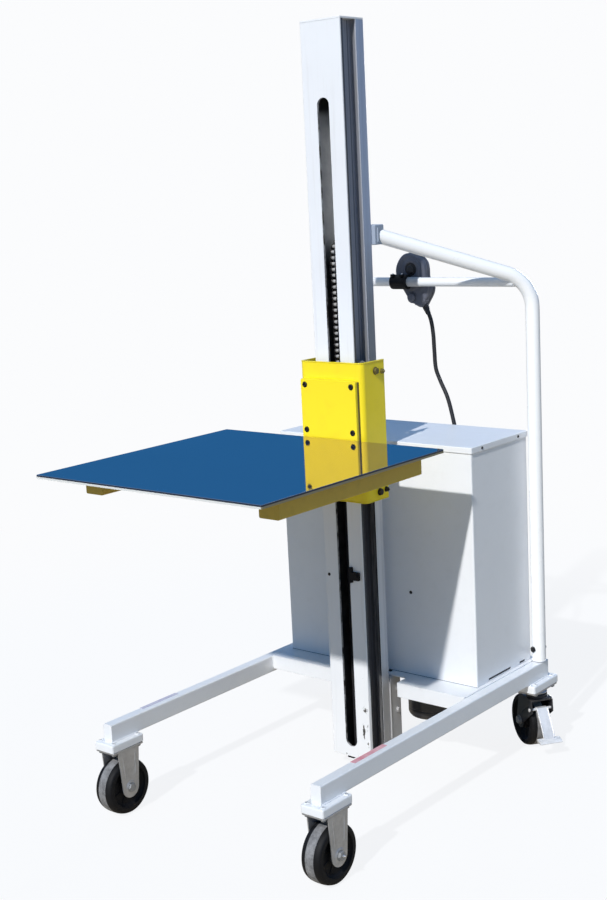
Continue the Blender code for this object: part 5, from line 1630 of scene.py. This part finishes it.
for side_name, side in SIDES:
    piece = Piece(f"handle_rail_{side_name}", LIT_HANDLE_WHITE, "white_paint",
                  replaces=[f"handle_tube_{side_name}"])
    piece.add(rail(side))
    piece.finish()
    # blocks and welds in blue-grey: painted shade
    piece = Piece(f"handle_block_{side_name}", [SHADED_BLOCK_PAINT, WHITE], "white_paint")
    piece.add(block(side_span(side, 0.0240, 0.0625), (0.0403, 0.0740), (1.2030, 1.2465),
                    0.0022, 3))
    piece.add(weld((side * 0.0632, 0.0500, 1.2080), (side * 0.0632, 0.0500, 1.2400), 0.0018,
                   seed=41 + side))
    piece.finish()

piece = Piece("handle_bolts", DARK_BOLT, "machined_steel")
for side in BOTH:
    piece.add(hexagon(0.0072, 0.0044),
              aim((-side * 0.32, -1, 0), (side * 0.2842, 0.3010, 0.243), 0.3))
    piece.add(hexagon(0.0056, 0.0038),
              aim((side * 0.25, 1, 0), (side * 0.2935, 0.3312, 0.243), 0.3))
piece.finish()

piece = Piece("handle_socket_collars", WHITE, "white_paint")
for side in BOTH:
    piece.add(ring(0.0171, 0.0161, 0.0014, 40, 0.0004), at(side * LEG_X, RAIL_Y, 0.2140))
piece.finish()

piece = Piece("crossbar_rod", WHITE, "white_paint", replaces=["handle_crossbar"])
bar = tube([(x, BAR_Y, BAR_Z) for x in (-0.262, 0.262)], 0.0105, 40)
piece.add(cut(bar, [rail(side) for side in BOTH]))
piece.finish()

# =============================================================== hand control
# outline of the case seen from the front: x, z
CONTROL_OUTLINE = [
    (-0.079, 1.120), (-0.0778, 1.135), (-0.0715, 1.149), (-0.061, 1.1612), (-0.0485, 1.1675),
    (-0.034, 1.1672), (-0.020, 1.163), (-0.006, 1.155), (0.002, 1.143), (0.0045, 1.128),
    (0.0050, 1.112), (0.010, 1.103), (0.0165, 1.096), (0.0185, 1.086), (0.0165, 1.074),
    (0.0105, 1.0625), (0.0035, 1.0520), (-0.0015, 1.0442), (-0.006, 1.0400),
    (-0.014, 1.0402), (-0.024, 1.045), (-0.036, 1.053), (-0.048, 1.065), (-0.057, 1.078),
    (-0.065, 1.090), (-0.074, 1.104)]
CASE_FRONT, CASE_REAR = 0.3062, 0.338
CASE_CENTRE = Vector((-0.030, 1.105))
BUTTON_X, UP_BUTTON_Z, DOWN_BUTTON_Z = -0.031, 1.1300, 1.0640


def cushion(loop, radius=0.0070, steps=6):
    """The case: a closed x, z outline with softly rounded front and rear rims."""
    half = []
    for k in range(steps + 1):
        a = math.pi / 2 * k / steps
        half.append((CASE_FRONT + radius * (1 - math.sin(a)), radius * (1 - math.cos(a))))
    rings = []
    for y, inset in half[::-1] + [(CASE_REAR - (y - CASE_FRONT), i) for y, i in half]:
        points = []
        for i, point in enumerate(loop):
            before, here = Vector(loop[i - 1]), Vector(point)
            along = (Vector(loop[(i + 1) % len(loop)]) - before).normalized()
            inward = Vector((along.y, -along.x))
            if inward.dot(CASE_CENTRE - here) < 0:
                inward = -inward
            moved = here + inward * inset
            points.append((moved.x, y, moved.y))
        rings.append(points)
    return loft(rings)


def on_case(z):
    """Placement facing forward at a button on the case front."""
    return aim(FORWARD, (BUTTON_X, CASE_FRONT + 0.0004, z))


piece = Piece("control_case", GREY_PLASTIC, "grey_plastic", replaces=["control_housing"])
loop = smooth_loop(CONTROL_OUTLINE)
piece.add(cut(cushion(loop), [drill(0.0113, 0.02, aim(REARWARD, (BUTTON_X, 0.2962, z)), 36)
                              for z in (UP_BUTTON_Z, DOWN_BUTTON_Z)]))
# raised boss round the upper button, and ribs across the lower end
piece.add(turned([(0.0160, 0.0), (0.0265, 0.0), (0.0258, 0.0022), (0.0235, 0.0036),
                  (0.0190, 0.0040), (0.0160, 0.0030)], 56, closed=True), on_case(UP_BUTTON_Z))
for k in range(4):
    y, z = CASE_FRONT + 0.0010, 1.0500 + 0.0034 * k - 0.004
    piece.add(tube([(-0.0240 - 0.0045 * k, y, z), (0.0040 + 0.0040 * k, y, z)], 0.0007, 8))
piece.finish()

piece = Piece("control_seam_and_bezels", BLACK_PLASTIC, "black_plastic")
seam_y = (CASE_FRONT + CASE_REAR) / 2 + 0.002
piece.add(tube([(x, seam_y, z) for x, z in loop + loop[:1]], 0.0007, 8))
piece.add(ring(0.0148, 0.0112, 0.0030, 40, 0.0006), on_case(UP_BUTTON_Z))
piece.finish()

piece = Piece("lower_bezel", GREY_PLASTIC, "grey_plastic")
piece.add(ring(0.0142, 0.0112, 0.0012, 40, 0.0005), on_case(DOWN_BUTTON_Z))
piece.finish()

piece = Piece("control_case_screws", DARK_BOLT, "machined_steel")
for x, z in ((-0.062, 1.138), (-0.008, 1.140), (-0.050, 1.078), (0.008, 1.074)):
    piece.add(dome_head(0.0030, 0.0014), aim(REARWARD, (x, CASE_REAR - 0.0002, z)))
piece.finish()

BUTTON_PROFILE = [
    (0, 0), (0.0101, 0), (0.0105, 0.0006), (0.0105, 0.0100), (0.0101, 0.0112),
    (0.0090, 0.0122), (0.0070, 0.0128), (0.0040, 0.0126), (0, 0.0122)]
for name, z, material in (("up_button", UP_BUTTON_Z, BLACK_PLASTIC),
                          ("down_button", DOWN_BUTTON_Z, GREY_PLASTIC)):
    piece = Piece(f"{name}_cap", material, "black_plastic", name, [name])
    piece.add(turned(BUTTON_PROFILE, 48), aim(FORWARD, (BUTTON_X, 0.3122, z)))
    piece.finish()

# clamp round the crossbar, split at the front, flat where the case sits
piece = Piece("clamp_ring", WHEEL_FACE, "black_plastic", replaces=["control_clamp"])
CLAMP_SCREWS_X = (-0.064, -0.038)
clamp = turned([(0.0108, 0.0), (0.0160, 0.0), (0.0172, 0.0008), (0.0175, 0.0022),
                (0.0175, 0.0428), (0.0172, 0.0442), (0.0160, 0.0450), (0.0108, 0.0450)],
               56, closed=True)
placed(clamp, aim(ACROSS, (-0.0725, BAR_Y, BAR_Z)))
piece.add(cut(clamp, [block((-0.1, 0.1), (0.3059, 0.33), (1.0, 1.2)),
                      block((-0.1, 0.0), (0.255, 0.272), (BAR_Z - 0.0008, BAR_Z + 0.0008))]))
for x in CLAMP_SCREWS_X:
    piece.add(block((x - 0.0045, x + 0.0045), (0.2716, 0.2800),
                    (BAR_Z + 0.0135, BAR_Z + 0.0190), 0.0010))
piece.finish()

piece = Piece("clamp_screws", ZINC, "zinc_plate")
for x in CLAMP_SCREWS_X:
    piece.add(dome_head(0.0030, 0.0020), aim(UP, (x, 0.2770, BAR_Z + 0.0188)))
piece.finish()

piece = Piece("bar_sleeve", PALE_TAPE, "grey_plastic")
piece.add(ring(0.0113, 0.01055, 0.0330, 40, 0.0004), aim(ACROSS, (-0.0271, BAR_Y, BAR_Z)))
piece.finish()

# cord from the case down and forward into the cabinet's rear sheet
CORD_KEYS = [
    (-0.0030, 0.322, 1.0390), (0.0082, 0.324, 1.010), (0.0125, 0.326, 0.975),
    (0.0122, 0.329, 0.935), (0.0135, 0.331, 0.893), (0.0240, 0.333, 0.862),
    (0.0430, 0.334, 0.821), (0.0570, 0.335, 0.766), (CORD_X, 0.334, 0.722)]
piece = Piece("control_cable", RUBBER, "hose_rubber", replaces=["control_cord"])
path = spline_path(CORD_KEYS, 8)
for k in range(1, 11):
    a = math.pi / 2 * k / 10
    path.append(Vector((CORD_X, 0.316 + 0.018 * math.cos(a), 0.722 - 0.022 * math.sin(a))))
path.append(Vector((CORD_X, 0.307, CORD_Z)))
piece.add(tube(path, 0.0048))
piece.finish()

# ribbed sleeve and plug where the cord leaves the case, and a bush at the cabinet
piece = Piece("cable_strain_reliefs", BLACK_PLASTIC, "black_plastic")
profile = [(0.0040, 0.0000)]
for k in range(4):
    z, radius = 0.0004 + k * 0.0042, 0.0078 - 0.0006 * k
    profile += [(radius, z), (radius, z + 0.0026), (radius - 0.0010, z + 0.0029),
                (radius - 0.0010, z + 0.0041)]
profile.append((0.0040, 0.0175))
cord_start = aim(Vector(CORD_KEYS[1]) - Vector(CORD_KEYS[0]), CORD_KEYS[0])
piece.add(turned(profile, 32, closed=True), cord_start)
piece.add(turned([(0, -0.0100), (0.0070, -0.0100), (0.0078, -0.0092), (0.0078, 0.0010),
                  (0, 0.0010)], 32), cord_start)
piece.add(turned([(0.0049, 0.0), (0.0110, 0.0), (0.0110, 0.0030), (0.0086, 0.0040),
                  (0.0086, 0.0060), (0.0049, 0.0060)], 32, closed=True),
          aim(REARWARD, (CORD_X, 0.3131, CORD_Z)))
piece.finish()

# =============================================================== floor
BACKDROP = (0.965, 0.972, 0.985)


def floor_finish():
    """Pale floor: nearly white to the camera, with a warmer, dimmer bounce."""
    t = Finish("floor_pale")
    drift = t.noise(scale=1.6, detail=3.0, rough=0.5)
    t.set(Base_Color=t.mix(drift, (0.52, 0.43, 0.31), (0.56, 0.47, 0.35)), Roughness=0.85,
          Specular_IOR_Level=0.1)
    seen = t.node("ShaderNodeBsdfDiffuse")
    t.feed(seen.inputs["Color"], t.mix(drift, (0.90, 0.91, 0.93), (0.94, 0.95, 0.96)))
    glow = t.node("ShaderNodeEmission")
    t.feed(glow.inputs["Color"], BACKDROP)
    t.feed(glow.inputs["Strength"], 1.0)
    # far from the lift the floor fades into the background
    length = t.node("ShaderNodeVectorMath", operation="LENGTH")
    t.feed(length.inputs[0], t.coord)
    far = t.rise(length.outputs["Value"], 1.0, 3.0, out=(0.90, 1.0), smooth=True)
    pale = t.mix_shader(far, seen.outputs[0], glow.outputs[0])
    seen_by_camera = t.node("ShaderNodeLightPath").outputs["Is Camera Ray"]
    t.surface(t.mix_shader(seen_by_camera, t.principled.outputs[0], pale))
    return t.material


disc = bmesh.new()
bmesh.ops.create_circle(disc, cap_ends=True, radius=60.0, segments=96)
floor_mesh = bpy.data.meshes.new("floor")
disc.to_mesh(floor_mesh)
disc.free()
floor = bpy.data.objects.new("floor", floor_mesh)
floor.location = (0, 0, -0.0004)
floor_mesh.materials.append(floor_finish())
bpy.context.scene.collection.objects.link(floor)

# =============================================================== world
FILL_SKY = (0.115, 0.235, 0.41)
# what shiny surfaces mirror, from straight down (0) to straight up (1): pale below the
# horizon and high up, a clear blue band between
MIRRORED_ENDS = ((0.0, (0.80, 0.82, 0.86)), (1.0, (0.85, 0.90, 1.0)))
MIRRORED_STOPS = (
    (0.495, (0.42, 0.40, 0.36)), (0.505, (0.022, 0.150, 0.460)), (0.62, (0.024, 0.156, 0.480)),
    (0.75, (0.10, 0.24, 0.50)), (0.86, (0.60, 0.70, 0.86)))

world = bpy.data.worlds.new("studio")
bpy.context.scene.world = world
world.use_nodes = True
sky = Nodes(world.node_tree)


def background(colour):
    node = sky.node("ShaderNodeBackground")
    sky.feed(node.inputs[0], colour)
    sky.feed(node.inputs[1], 1.0)
    return node.outputs[0]


world_output = sky.node("ShaderNodeOutputWorld")
direction = sky.separate(sky.node("ShaderNodeTexCoord").outputs["Generated"])
height = sky.node("ShaderNodeMapRange")
height.inputs["From Min"].default_value = -1.0
height.inputs["From Max"].default_value = 1.0
sky.feed(height.inputs["Value"], direction["Z"])
ramp = sky.node("ShaderNodeValToRGB")
sky.feed(ramp.inputs[0], height.outputs[0])
elements = ramp.color_ramp.elements
for element, (position, colour) in zip(elements, MIRRORED_ENDS):
    element.position, element.color = position, (*colour, 1)
for position, colour in MIRRORED_STOPS:
    elements.new(position).color = (*colour, 1)
rays = sky.node("ShaderNodeLightPath").outputs
lighting = sky.mix_shader(rays["Is Glossy Ray"], background(FILL_SKY),
                          background(ramp.outputs[0]))
sky.feed(world_output.inputs[0],
         sky.mix_shader(rays["Is Camera Ray"], lighting, background(BACKDROP)))


# =============================================================== lights and camera
def sun(name, travel, energy, colour, angle):
    """Sun shining along travel; angle is its apparent size in degrees."""
    data = bpy.data.lights.new(name, "SUN")
    data.energy, data.color, data.angle = energy, colour, math.radians(angle)
    obj = bpy.data.objects.new(name, data)
    obj.rotation_mode = "QUATERNION"
    obj.rotation_quaternion = Vector(travel).to_track_quat("-Z", "Y")
    bpy.context.scene.collection.objects.link(obj)


sun("key", travel=(-0.20, 1.0, -0.84), energy=3.45, colour=(1.0, 0.99, 0.965), angle=1.3)
sun("back_fill", travel=(0.35, -1.0, -0.10), energy=0.8, colour=(0.98, 0.99, 1.0), angle=12.0)

CAMERA_PLACE = (1.9314, -2.4955 + ORIGIN_Y, 1.3382)
# turn left from +Y, tilt down, and lean about the line of sight
heading, tilt, lean = (math.radians(a) for a in (40.4565, 10.6557, -3.0049))
forward = Vector((-math.sin(heading) * math.cos(tilt), math.cos(heading) * math.cos(tilt),
                  -math.sin(tilt)))
level_right = Vector((math.cos(heading), math.sin(heading), 0))
level_up = level_right.cross(forward)
right = level_right * math.cos(lean) + level_up * math.sin(lean)
up = -level_right * math.sin(lean) + level_up * math.cos(lean)

camera_data = bpy.data.cameras.new("camera")
camera = bpy.data.objects.new("camera", camera_data)
bpy.context.scene.collection.objects.link(camera)
camera.matrix_world = at(*CAMERA_PLACE) @ Matrix((right, up, -forward)).transposed().to_4x4()
camera_data.sensor_width = 36.0
camera_data.sensor_fit = "AUTO"
camera_data.lens = 57.02
camera_data.shift_x, camera_data.shift_y = 0.02166, 0.0059
camera_data.clip_start, camera_data.clip_end = 0.05, 200.0
bpy.context.scene.camera = camera
bpy.context.scene.view_settings.view_transform = "Standard"
